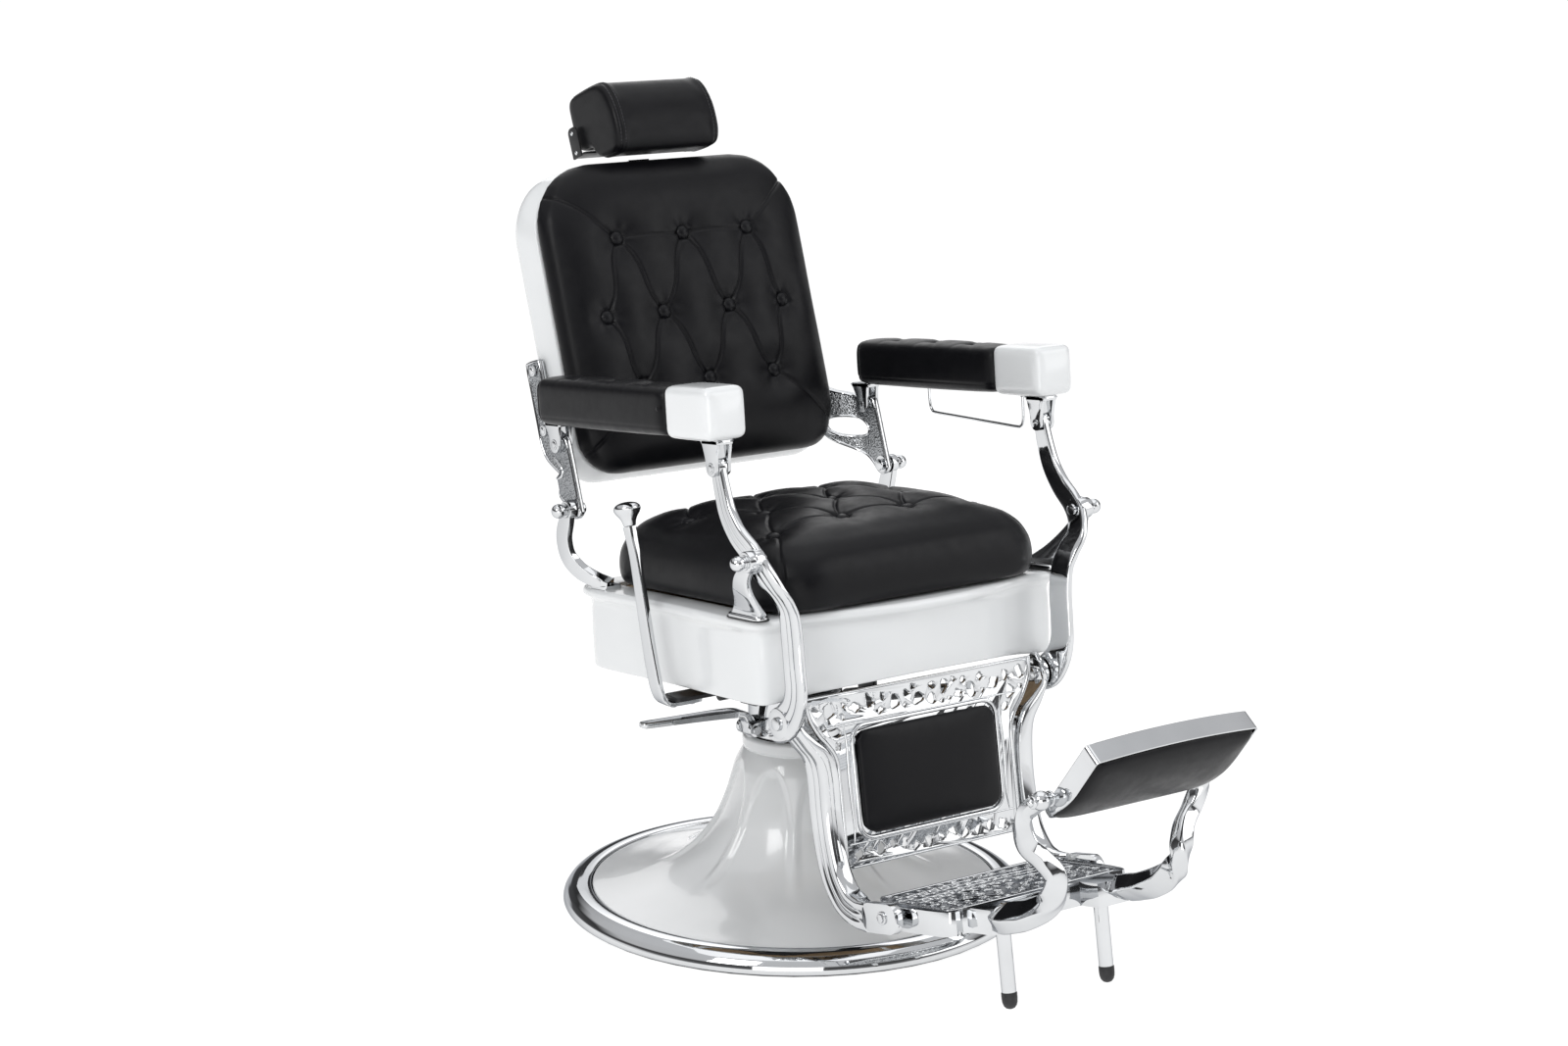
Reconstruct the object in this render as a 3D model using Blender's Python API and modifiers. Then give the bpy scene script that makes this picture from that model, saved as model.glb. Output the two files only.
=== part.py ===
"""Hydraulic barber chair: chromed linkage, enamelled castings and leatherette upholstery.

Metres, +Z up. The sitter faces -Y and the chair's left is +X. The origin is the middle of the
base ring, on the floor. Every moving piece is parented to an empty that stands on its joint.
"""
import math

import bmesh
import bpy
from mathutils import Matrix, Vector

# ---- driving dimensions -------------------------------------------------------------------
RING_RADIUS = 0.350
DISC_RADIUS = 0.3056
NECK_BORE = 0.0712
HOUSING_RADIUS = 0.0705
HOUSING_TOP = 0.336
RAM_RADIUS = 0.030
RIM_HEIGHT = 0.5064
SKIRT_DEPTH = 0.120
ARM_X = 0.293
ARM_HALF_WIDTH = 0.034
FRAME_HALF_WIDTH = 0.131
PIN_RADIUS = 0.005
GAP = 0.0003
BORE_RADIUS = PIN_RADIUS + GAP

# ---- joint axes, as (y, z) of a line along X, and tilts about X in degrees -----------------
KNEE = (-0.300, 0.622)
REAR = (0.155, 0.6126)
ARM_REAR = (0.197, 0.7025)
ARM_FRONT = (-0.215, 0.737)
LEG = (-0.293, 0.384)
TREAD = (-0.4606, 0.1393)
FOOT = (-0.745, 0.373)
HEADREST = (0.437, 1.110)
HEADREST_MIDDLE = (0.4006, 1.144)
RECLINE_SHAFT = (-0.085, 0.370)
PUMP_PIVOT = (-0.0845, 0.283)
SEAT_TILT = -4.75
BACK_TILT = -19.0
ARM_TILT = -6.0
HEADREST_TILT = -22.0
LEG_TILT = -9.96
TREAD_TILT = -10.0
FOOT_TILT = 37.0
ROD_SLOPE = 15.8

CHROME = ((0.78, 0.79, 0.80), 0.07, 1.0)
DARK_STEEL = ((0.05, 0.05, 0.055), 0.45, 0.8)
STEEL = ((0.45, 0.45, 0.47), 0.30, 1.0)
BRONZE = ((0.55, 0.36, 0.16), 0.35, 1.0)
ENAMEL = ((0.80, 0.82, 0.82), 0.12, 0.0)
LEATHER = ((0.012, 0.012, 0.014), 0.42, 0.0)
RUBBER = ((0.02, 0.02, 0.02), 0.75, 0.0)
PLYWOOD = ((0.42, 0.29, 0.17), 0.70, 0.0)

SIDES = (("right", -1.0), ("left", 1.0))


# ---- scene, materials and small mesh helpers ----------------------------------------------
def clear_scene():
    for old in list(bpy.data.objects):
        bpy.data.objects.remove(old, do_unlink=True)


def make_collection(name):
    collection = bpy.data.collections.new(name)
    bpy.context.scene.collection.children.link(collection)
    return collection


def make_material(name, look):
    colour, roughness, metallic = look
    material = bpy.data.materials.new(name)
    material.use_nodes = True
    shader = material.node_tree.nodes["Principled BSDF"]
    shader.inputs["Base Color"].default_value = (*colour, 1.0)
    shader.inputs["Roughness"].default_value = roughness
    shader.inputs["Metallic"].default_value = metallic
    material.diffuse_color = (*colour, 1.0)
    return material


def finish(name, bm, look, frame=None, local=True, smooth=30.0):
    """Turn a bmesh into a named object; local pieces are drawn in their frame's own axes."""
    bmesh.ops.recalc_face_normals(bm, faces=bm.faces)
    if bm.calc_volume(signed=True) < 0:
        bmesh.ops.reverse_faces(bm, faces=bm.faces)
    mesh = bpy.data.meshes.new(name)
    bm.to_mesh(mesh)
    bm.free()
    mesh.shade_smooth()
    mesh.set_sharp_from_angle(angle=math.radians(smooth))
    obj = bpy.data.objects.new(name, mesh)
    PARTS.objects.link(obj)
    obj.data.materials.append(make_material(name, look))
    if frame is not None:
        obj.parent = frame
        if not local:
            obj.matrix_parent_inverse = frame.matrix_world.inverted()
    return obj


def make_frame(name, y, z, tilt, parent=None, x=0.0):
    """An empty on a joint's axis, tilted about X by tilt degrees."""
    frame = bpy.data.objects.new(name, None)
    PARTS.objects.link(frame)
    if parent is not None:
        frame.parent = parent
        frame.matrix_parent_inverse = parent.matrix_world.inverted()
    frame.location = (x, y, z)
    frame.rotation_euler = (math.radians(tilt), 0.0, 0.0)
    bpy.context.view_layer.update()
    return frame


def boolean(obj, cutter, operation):
    """Cut or join two meshes that share a frame, then drop the second one."""
    modifier = obj.modifiers.new("cut", "BOOLEAN")
    modifier.operation = operation
    modifier.object = cutter
    bpy.context.view_layer.update()
    graph = bpy.context.evaluated_depsgraph_get()
    mesh = bpy.data.meshes.new_from_object(obj.evaluated_get(graph))
    obj.modifiers.clear()
    mesh.name = obj.name
    obj.data = mesh
    bpy.data.objects.remove(cutter, do_unlink=True)


def loft(rings, loop=False, caps=True):
    """Skin a list of rings with equal point counts."""
    bm = bmesh.new()
    rows = [[bm.verts.new(point) for point in ring] for ring in rings]
    count = len(rows[0])
    pairs = list(zip(rows, rows[1:]))
    if loop:
        pairs.append((rows[-1], rows[0]))
    for low, high in pairs:
        for i in range(count):
            j = (i + 1) % count
            bm.faces.new((low[i], low[j], high[j], high[i]))
    if caps and not loop:
        bm.faces.new(rows[0])
        bm.faces.new(rows[-1])
    return bm


def box_mesh(low, high, bevel=0.0):
    bm = bmesh.new()
    bmesh.ops.create_cube(bm, size=1.0)
    for vert in bm.verts:
        vert.co = Vector([low[i] + (vert.co[i] + 0.5) * (high[i] - low[i]) for i in range(3)])
    if bevel:
        bmesh.ops.bevel(bm, geom=list(bm.edges), offset=bevel, segments=2, affect="EDGES",
                        profile=0.5)
    return bm


def rod_mesh(start, end, radius, segments=16, end_radius=None):
    bm = bmesh.new()
    start, end = Vector(start), Vector(end)
    turn = (end - start).to_track_quat("Z", "Y").to_matrix().to_4x4()
    bmesh.ops.create_cone(bm, cap_ends=True, segments=segments, radius1=radius,
                          radius2=radius if end_radius is None else end_radius,
                          depth=(end - start).length,
                          matrix=Matrix.Translation((start + end) / 2) @ turn)
    return bm


def temporary(bm, frame=None, local=True):
    return finish("cutter", bm, STEEL, frame, local)


def bore_x(obj, y, z, frame, x_low=-0.5, x_high=0.5, radius=BORE_RADIUS, local=False):
    """Drill a hole along X; its centre is given in world axes unless local is set."""
    cutter = temporary(rod_mesh((x_low, y, z), (x_high, y, z), radius), frame, local)
    boolean(obj, cutter, "DIFFERENCE")


def turned(name, profile, steps, look, frame=None, location=(0, 0, 0), closed=True):
    """A turned piece: (radius, height) points, down the outer side, swept about Z."""
    mesh = bpy.data.meshes.new(name)
    verts = [(radius, 0.0, height) for radius, height in profile]
    edges = [(i, i + 1) for i in range(len(verts) - 1)]
    if closed:
        edges.append((len(verts) - 1, 0))
    mesh.from_pydata(verts, edges, [])
    obj = bpy.data.objects.new(name, mesh)
    PARTS.objects.link(obj)
    obj.data.materials.append(make_material(name, look))
    obj.location = location
    screw = obj.modifiers.new("turn", "SCREW")
    screw.steps = steps
    screw.render_steps = steps
    screw.use_merge_vertices = True
    screw.merge_threshold = 0.00001
    screw.use_smooth_shade = True
    bpy.context.view_layer.update()
    if frame is not None:
        obj.parent = frame
        obj.matrix_parent_inverse = frame.matrix_world.inverted()
    return obj


def catmull(points, steps, closed=False):
    """Smooth values between the given stations (tuples of any length)."""
    count = len(points)
    spans = count if closed else count - 1
    result = []
    for span in range(spans):
        if closed:
            p0, p1, p2, p3 = [points[(span + k) % count] for k in (-1, 0, 1, 2)]
        else:
            p1, p2 = points[span], points[span + 1]
            p0 = points[max(span - 1, 0)]
            p3 = points[min(span + 2, count - 1)]
        for step in range(steps):
            t = step / steps
            result.append(tuple(
                0.5 * (2 * b + (c - a) * t + (2 * a - 5 * b + 4 * c - d) * t * t
                       + (3 * b - a - 3 * c + d) * t ** 3)
                for a, b, c, d in zip(p0, p1, p2, p3)))
    if not closed:
        result.append(tuple(points[-1]))
    return result


def bar(name, stations, look, frame, toward, steps=2, smooth=30.0):
    """A flat bar along (x, y, z, size_a, size_b) stations; size_a lies nearest to toward."""
    path = catmull(stations, steps)
    centres = [Vector(p[:3]) for p in path]
    rings = []
    for i, point in enumerate(path):
        ahead = centres[min(i + 1, len(path) - 1)]
        behind = centres[max(i - 1, 0)]
        tangent = (ahead - behind).normalized()
        side = (toward - toward.dot(tangent) * tangent).normalized()
        across = tangent.cross(side)
        a, b = side * point[3] / 2, across * point[4] / 2
        rings.append([centres[i] + a + b, centres[i] - a + b, centres[i] - a - b,
                      centres[i] + a - b])
    return finish(name, loft(rings), look, frame, False, smooth)


def tube(name, points, radius, look, frame, sides=8, steps=2):
    """A round tube along points, as a loft of circles."""
    path = [Vector(p) for p in catmull(points, steps)]
    rings = []
    side = Vector((1.0, 0.0, 0.0))
    for i, centre in enumerate(path):
        tangent = (path[min(i + 1, len(path) - 1)] - path[max(i - 1, 0)]).normalized()
        side = (side - side.dot(tangent) * tangent).normalized()
        across = tangent.cross(side)
        turn = [2 * math.pi * k / sides for k in range(sides)]
        rings.append([centre + radius * (math.cos(a) * side + math.sin(a) * across)
                      for a in turn])
    return finish(name, loft(rings), look, frame, False, 60.0)


def rounded_outline(half_width, low, high, low_radius, high_radius, arc_steps=5, edge_steps=1):
    """Corner-rounded rectangle in a plane, as (across, up) points, counter-clockwise."""
    corners = ((half_width, high, high_radius, 0), (-half_width, high, high_radius, 90),
               (-half_width, low, low_radius, 180), (half_width, low, low_radius, 270))
    arcs = []
    for across, up, radius, start in corners:
        middle_a = across - math.copysign(radius, across)
        middle_u = up - radius if up == high else up + radius
        arcs.append([(middle_a + radius * math.cos(math.radians(start + 90 * k / arc_steps)),
                      middle_u + radius * math.sin(math.radians(start + 90 * k / arc_steps)))
                     for k in range(arc_steps + 1)])
    points = []
    for arc, following in zip(arcs, arcs[1:] + arcs[:1]):
        points.extend(arc)
        for k in range(1, edge_steps):
            t = k / edge_steps
            points.append((arc[-1][0] * (1 - t) + following[0][0] * t,
                           arc[-1][1] * (1 - t) + following[0][1] * t))
    return points


def relaxed_inset(points, distance):
    """Inset in small steps with a little smoothing, so tight corners never cross."""
    steps = max(1, math.ceil(distance / 0.004))
    for _ in range(steps):
        points = inset(points, distance / steps)
        following = points[1:] + points[:1]
        before = points[-1:] + points[:-1]
        points = [tuple(0.8 * p + 0.1 * (a + b) for p, a, b in zip(point, behind, ahead))
                  for point, behind, ahead in zip(points, before, following)]
    return points


def inset(points, distance):
    """Move a closed counter-clockwise outline inwards along its corner normals."""
    result = []
    count = len(points)
    for i, point in enumerate(points):
        before = Vector(point) - Vector(points[i - 1])
        after = Vector(points[(i + 1) % count]) - Vector(point)
        n1 = Vector((-before.y, before.x)).normalized()
        n2 = Vector((-after.y, after.x)).normalized()
        bisector = (n1 + n2).normalized()
        reach = distance / max(bisector.dot(n1), 0.4)
        result.append((point[0] + bisector.x * reach, point[1] + bisector.y * reach))
    return result


def extruded(points, low, high, plane):
    """A closed outline thickened between low and high; plane maps (a, b, depth) to xyz."""
    return loft([[plane(a, b, low) for a, b in points], [plane(a, b, high) for a, b in points]])


def pillow(name, low, high, look, frame, crown=0.0, levels=2):
    """A padded block from a coarse cage; crown lifts the middle of its last axis."""
    bm = bmesh.new()
    bmesh.ops.create_cube(bm, size=2.0)
    bmesh.ops.subdivide_edges(bm, edges=list(bm.edges), cuts=2, use_grid_fill=True)
    for vert in bm.verts:
        for axis in range(3):
            if abs(vert.co[axis]) < 0.9:
                vert.co[axis] *= 2.3
    for vert in bm.verts:
        inner = (1 - abs(vert.co.x)) + (1 - abs(vert.co.y))
        unit = vert.co.copy()
        vert.co = Vector([low[i] + (unit[i] + 1) / 2 * (high[i] - low[i]) for i in range(3)])
        vert.co.z += crown * inner * (unit.z > 0)
    obj = finish(name, bm, look, frame, True, 180.0)
    soften = obj.modifiers.new("soften", "SUBSURF")
    soften.levels = levels
    soften.render_levels = levels
    return obj


# ---- base ---------------------------------------------------------------------------------
def build_base():
    inner = DISC_RADIUS + 0.0014
    ring = [(inner, 0.0300), (0.312, 0.0322), (0.326, 0.0325), (0.339, 0.0285),
            (0.3465, 0.021), (RING_RADIUS, 0.0125), (0.3485, 0.0055), (0.343, 0.0033),
            (inner, 0.0033)]
    turned("base_ring", ring, 48, CHROME)
    sheet = loft([[polar(0.340, k, 48, height) for k in range(48)] for height in (0.0, 0.003)])
    finish("floor_gasket", sheet, RUBBER, None)
    turned("weight_plate", [(0.296, 0.020), (0.300, 0.016), (0.300, 0.0033), (0.076, 0.0033),
                            (0.076, 0.020)], 32, DARK_STEEL)
    build_pedestal()
    turned("swivel_bearing", [(0.0703, 0.260), (0.0703, 0.208), (0.0676, 0.208),
                              (0.0676, 0.260)], 24, BRONZE)


def build_pedestal():
    """Bell casting; eight flutes grow towards the middle of its height and fade at the disc."""
    outer = [(0.0745, 0.2636), (0.0790, 0.2600), (0.0795, 0.2465), (0.0772, 0.2430),
             (0.0850, 0.2300), (0.0905, 0.2180), (0.0976, 0.1920), (0.1060, 0.1650),
             (0.1190, 0.1350), (0.1310, 0.1170), (0.1500, 0.0940), (0.1900, 0.0640),
             (0.2500, 0.0430), (DISC_RADIUS, 0.0306), (DISC_RADIUS, 0.0262)]
    wall = 0.006
    inner = [(0.2500, 0.0370), (0.1880, 0.0580), (0.1460, 0.0880), (0.1150, 0.1280),
             (0.1000, 0.1650), (0.0840, 0.1960), (NECK_BORE, 0.2070), (NECK_BORE, 0.2636)]
    steps = 32
    rings = []
    for radius, height in outer:
        flute = 0.035 * max(0.0, 1 - abs(height - 0.150) / 0.085)
        rings.append([polar(radius * (1 - flute * facet(k, steps)), k, steps, height)
                      for k in range(steps)])
    for radius, height in inner:
        thin = radius
        if height < 0.2000:
            thin = min(radius, outer_radius_at(outer, height) - wall)
        rings.append([polar(thin, k, steps, height) for k in range(steps)])
    finish("pedestal_shell", loft(rings, loop=True), ENAMEL, None)


def polar(radius, k, steps, height):
    angle = 2 * math.pi * k / steps + math.radians(FLUTE_PHASE)
    return (radius * math.cos(angle), radius * math.sin(angle), height)


FLUTE_PHASE = -13.9


def facet(k, steps):
    """0 on the eight ridges and 1 midway between them."""
    return 0.5 - 0.5 * math.cos(8 * 2 * math.pi * k / steps)


def outer_radius_at(profile, height):
    for (r1, z1), (r2, z2) in zip(profile, profile[1:]):
        if z2 <= height <= z1:
            return r1 + (r2 - r1) * (z1 - height) / max(z1 - z2, 1e-6)
    return profile[-1][0]


# ---- pump: turns with the chair in the base -----------------------------------------------
def build_pump(frame):
    cylinder = [(0.0662, 0.2615), (0.0662, 0.0245), (0.0, 0.0245), (0.0, 0.0300),
                (RAM_RADIUS + 0.001, 0.0300), (RAM_RADIUS + 0.001, 0.2615)]
    turned("pump_cylinder", cylinder, 24, STEEL, frame, closed=True)
    build_housing(frame)


def build_housing(frame):
    bm = tube_wall(HOUSING_RADIUS, RAM_RADIUS + 0.001, 0.2640, HOUSING_TOP, 32, 0.003)
    housing = finish("pump_housing", bm, CHROME, frame, False)
    y, z = 0.0, PUMP_PIVOT[1]
    for low in (-0.0190, 0.0110):
        ear = box_mesh((PUMP_PIVOT[0] - 0.011, y + low, z - 0.012),
                       (-HOUSING_RADIUS + 0.006, y + low + 0.008, z + 0.011), 0.002)
        boolean(housing, temporary(ear, frame, False), "UNION")
    cutter = rod_mesh((PUMP_PIVOT[0], -0.03, z), (PUMP_PIVOT[0], 0.03, z), 0.0043, 12)
    boolean(housing, temporary(cutter, frame, False), "DIFFERENCE")


def tube_wall(outer, inner, low, high, steps, chamfer):
    """A tube about Z with chamfered outer edges."""
    profile = [(inner, high), (outer - chamfer, high), (outer, high - chamfer),
               (outer, low + chamfer / 2), (outer - chamfer / 2, low), (inner, low)]
    rings = [[(r * math.cos(2 * math.pi * k / steps), r * math.sin(2 * math.pi * k / steps), z)
              for k in range(steps)] for r, z in profile]
    return loft(rings, loop=True)


def build_pump_lever(frame):
    x, z = PUMP_PIVOT
    stations = [(x + 0.002, 0.0, z - 0.008, 0.0200, 0.014), (x, 0.0, z + 0.003, 0.0200, 0.015),
                (x - 0.005, 0.0005, 0.2980, 0.0200, 0.013),
                (-0.101, 0.003, 0.3070, 0.0250, 0.011), (-0.128, 0.006, 0.3095, 0.0280, 0.010),
                (-0.185, 0.010, 0.3110, 0.0240, 0.009), (-0.268, 0.015, 0.3130, 0.0160, 0.010)]
    lever = bar("pump_lever", stations, CHROME, frame, Vector((0, 1, 0)))
    cutter = rod_mesh((x, -0.03, z), (x, 0.03, z), 0.0043, 12)
    boolean(lever, temporary(cutter, frame, False), "DIFFERENCE")
    pin = rod_mesh((x, -0.0215, z), (x, 0.0215, z), 0.0040, 12)
    finish("pump_lever_pin", pin, STEEL, frame, False)


# ---- seat: rises on the ram ---------------------------------------------------------------
SEAT_OUTLINE = ((0.0, -0.325), (0.100, -0.316), (0.165, -0.293), (0.212, -0.280),
                (0.245, -0.285), (0.268, -0.288), (0.2775, -0.268), (0.2765, -0.200),
                (0.2740, -0.110), (0.2715, -0.030), (0.2765, 0.050), (0.2775, 0.130),
                (0.2660, 0.176), (0.228, 0.196), (0.120, 0.199))


def seat_outline(steps=2):
    """The serpentine rim: right half given, mirrored, smoothed; counter-clockwise."""
    right = list(SEAT_OUTLINE)
    left = [(-x, y) for x, y in reversed(right[1:])]
    return catmull(right + left, steps, closed=True)


def build_skirt(frame):
    """Rim lip, cove and wall; the lower edge arches a little at the front."""
    outline = seat_outline()
    profile = [(0.0, -0.008), (0.003, -0.001), (0.006, 0.0), (0.046, 0.0), (0.046, -0.006),
               (0.017, -0.007), (0.0185, -0.060), (0.0155, -SKIRT_DEPTH),
               (0.0105, -SKIRT_DEPTH), (0.0100, -0.060), (0.0125, -0.024), (0.0030, -0.016)]
    rings = []
    for distance, height in profile:
        ring = []
        for (x, y), (x0, y0) in zip(relaxed_inset(outline, distance), outline):
            front = max(0.0, 1 - (x0 / 0.23) ** 2) if y0 < -0.2 else 0.0
            arch = 0.016 * front * max(0.0, -height - 0.03) / (SKIRT_DEPTH - 0.03)
            ring.append((x, y, height + arch))
        rings.append(ring)
    finish("seat_skirt", loft(rings, loop=True), ENAMEL, frame)
    board = rounded_outline(0.248, -0.255, 0.171, 0.045, 0.075)
    finish("seat_board", extruded(board, -0.0190, -0.0074, flat_xy), PLYWOOD, frame)


def flat_xy(a, b, depth):
    return (a, b, depth)


def build_seat_cushion(frame):
    """Full crowned cushion, square at its foot and rounded above."""
    base = rounded_outline(0.246, -0.309, 0.150, 0.075, 0.060, 5, 3)
    heights = ((0.012, 0.0006), (0.002, 0.010), (-0.003, 0.045), (0.004, 0.078),
               (0.022, 0.102), (0.055, 0.116), (0.110, 0.124), (0.170, 0.127))
    rings = []
    for distance, height in heights:
        shrink_x = (0.246 - distance) / 0.246
        shrink_y = (0.2295 - distance) / 0.2295
        rings.append([(x * shrink_x, (y + 0.0795) * shrink_y - 0.0795, height)
                      for x, y in base])
    finish("seat_cushion", loft(rings), LEATHER, frame, True, 180.0)


def build_seat_frame(frame):
    """Steel channel under the board, with the lever's boss and the lock cylinder's lug."""
    w, t = FRAME_HALF_WIDTH, 0.006
    top, low = -0.0195, -0.150
    section = [(-w, top), (-w, low), (w, low), (w, top), (w - t, top), (w - t, low + t),
               (-w + t, low + t), (-w + t, top)]
    channel = extruded(section, -0.130, 0.120, lambda a, b, depth: (a, depth, b))
    channel = finish("seat_frame", channel, DARK_STEEL, frame)
    boss = box_mesh((-0.158, -0.105, -0.162), (-w + 0.003, -0.065, -0.124), 0.003)
    boolean(channel, temporary(boss, frame), "UNION")
    bore_x(channel, *RECLINE_SHAFT, frame, -0.2, -w - 0.0008, 0.0085)
    lug = box_mesh((w - 0.003, -0.012, -0.232), (w + 0.004, 0.030, -0.120), 0.002)
    boolean(channel, temporary(lug, frame), "UNION")
    profile = [(0.0, 0.3502), (0.056, 0.3502), (0.056, 0.3440), (RAM_RADIUS, 0.3400),
               (RAM_RADIUS, 0.0500), (0.0, 0.0500)]
    ram = turned("ram", profile, 24, CHROME, frame)
    wedge = box_mesh((-0.044, -0.044, -0.1620), (0.044, 0.044, -0.1503))
    boolean(ram, temporary(wedge, frame), "UNION")


def build_brackets(frame):
    """Knee and rear brackets on the rim, and the ball bolts through their tops."""
    for side, sign in SIDES:
        knee = []
        for x0, x1, y0, y1, z in ((0.2515, 0.2755, -0.293, -0.209, 0.0),
                                  (0.2515, 0.2755, -0.293, -0.209, 0.005),
                                  (0.2540, 0.2740, -0.287, -0.216, 0.009),
                                  (0.2845, 0.2965, -0.291, -0.260, 0.042),
                                  (0.2945, 0.3065, -0.303, -0.274, 0.064),
                                  (0.2945, 0.3065, -0.313, -0.284, 0.084),
                                  (0.2945, 0.3065, -0.312, -0.288, 0.106)):
            height = RIM_HEIGHT - 0.083 * (y0 + y1) / 2 + z
            slope = -0.083 * (y1 - y0) / 2 if z < 0.01 else 0.0
            lift = GAP
            knee.append([(sign * x0, y0, height - slope + lift), (sign * x1, y0, height - slope
                         + lift), (sign * x1, y1, height + slope + lift),
                         (sign * x0, y1, height + slope + lift)])
        obj = finish(f"knee_bracket_{side}", loft(knee), CHROME, frame, False)
        bore_x(obj, *KNEE, frame)
        stations = [(sign * 0.257, 0.112, 0.5052, 0.026, 0.012),
                    (sign * 0.266, 0.125, 0.5085, 0.018, 0.018),
                    (sign * 0.283, 0.145, 0.5200, 0.013, 0.026),
                    (sign * 0.2945, 0.163, 0.5420, 0.011, 0.030),
                    (sign * 0.2990, 0.167, 0.5700, 0.011, 0.031),
                    (sign * 0.2990, 0.159, 0.5980, 0.011, 0.028),
                    (sign * 0.2990, 0.151, 0.6260, 0.011, 0.024)]
        obj = bar(f"rear_bracket_{side}", stations, CHROME, frame, Vector((1, 0, 0)))
        bore_x(obj, *REAR, frame)
        ball_bolt(f"knee_ball_{side}", sign, *KNEE, 0.2772, 0.3175, frame)
        ball_bolt(f"rear_ball_{side}", sign, *REAR, 0.2760, 0.3155, frame)


def ball_bolt(name, sign, y, z, x_low, x_ball, frame):
    """A bolt along X whose outer end is a ball nut and whose inner end is a low head."""
    profile = [(0.0, x_ball + 0.0105), (0.0055, x_ball + 0.0090), (0.0095, x_ball + 0.0045),
               (0.0105, x_ball), (0.0095, x_ball - 0.0045), (0.0075, x_ball - 0.0085),
               (PIN_RADIUS, x_ball - 0.0085), (PIN_RADIUS, x_low), (0.0090, x_low),
               (0.0090, x_low - 0.0030), (0.0, x_low - 0.0030)]
    steps = 14
    rings = []
    for radius, x in profile:
        radius = max(radius, 0.0006)
        rings.append([(sign * x, y + radius * math.cos(2 * math.pi * k / steps),
                       z + radius * math.sin(2 * math.pi * k / steps)) for k in range(steps)])
    finish(name, loft(rings), CHROME, frame, False)


# ---- recline lever and lock cylinder ------------------------------------------------------
def build_recline_lever(frame):
    y, z = RECLINE_SHAFT
    shaft = finish("recline_shaft", rod_mesh((-0.200, y, z), (-0.1325, y, z), 0.008, 16),
                   DARK_STEEL, frame, False)
    plate = box_mesh((-0.282, y - 0.018, z + 0.0060), (-0.178, y + 0.018, z + 0.0125), 0.0015)
    boolean(shaft, temporary(plate, frame, False), "UNION")
    stations = [(-0.240, y, z + 0.0020, 0.024, 0.006), (-0.280, y, z + 0.0022, 0.024, 0.006),
                (-0.2985, y - 0.002, z + 0.0090, 0.025, 0.007),
                (-0.3075, y - 0.002, z + 0.0280, 0.026, 0.008),
                (-0.3095, -0.080, 0.4250, 0.025, 0.008), (-0.3100, -0.068, 0.4700, 0.023, 0.008),
                (-0.3100, -0.052, 0.5300, 0.020, 0.009), (-0.3100, -0.038, 0.5800, 0.018, 0.010),
                (-0.3100, -0.026, 0.6130, 0.016, 0.012), (-0.3100, -0.0225, 0.6250, 0.016, 0.014)]
    bar("recline_arm", stations, CHROME, frame, Vector((0, 1, 0)))
    profile = [(0.0006, 0.0325), (0.0120, 0.0310), (0.0180, 0.0260), (0.0195, 0.0210),
               (0.0170, 0.0130), (0.0110, 0.0040), (0.0085, 0.0), (0.0006, 0.0)]
    rings = [[(-0.310 + r * math.cos(2 * math.pi * k / 16),
               -0.0215 + r * math.sin(2 * math.pi * k / 16) + 0.30 * h, 0.6285 + h)
              for k in range(16)] for r, h in profile]
    finish("recline_knob", loft(rings), CHROME, frame, False, 60.0)


def along_rod(distance, x=0.108):
    """A point on the lock rod's line, measured backwards from the leg joint."""
    slope = math.radians(ROD_SLOPE)
    return (x, LEG[0] + distance * math.cos(slope), LEG[1] - distance * math.sin(slope))


def build_lock(seat_frame, rod_frame):
    body = finish("lock_cylinder", rod_mesh(along_rod(0.125), along_rod(0.318), 0.0120, 16),
                  DARK_STEEL, seat_frame, False)
    hollow = rod_mesh(along_rod(0.120), along_rod(0.312), 0.0066, 12)
    boolean(body, temporary(hollow, seat_frame, False), "DIFFERENCE")
    x, y, z = along_rod(0.300)
    pivot = rod_mesh((x + 0.011, y, z), (FRAME_HALF_WIDTH - 0.0034, y, z), 0.006, 12)
    boolean(body, temporary(pivot, seat_frame, False), "UNION")
    finish("lock_rod", rod_mesh(along_rod(0.014), along_rod(0.168), 0.0060, 12), CHROME,
           rod_frame, False)


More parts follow.
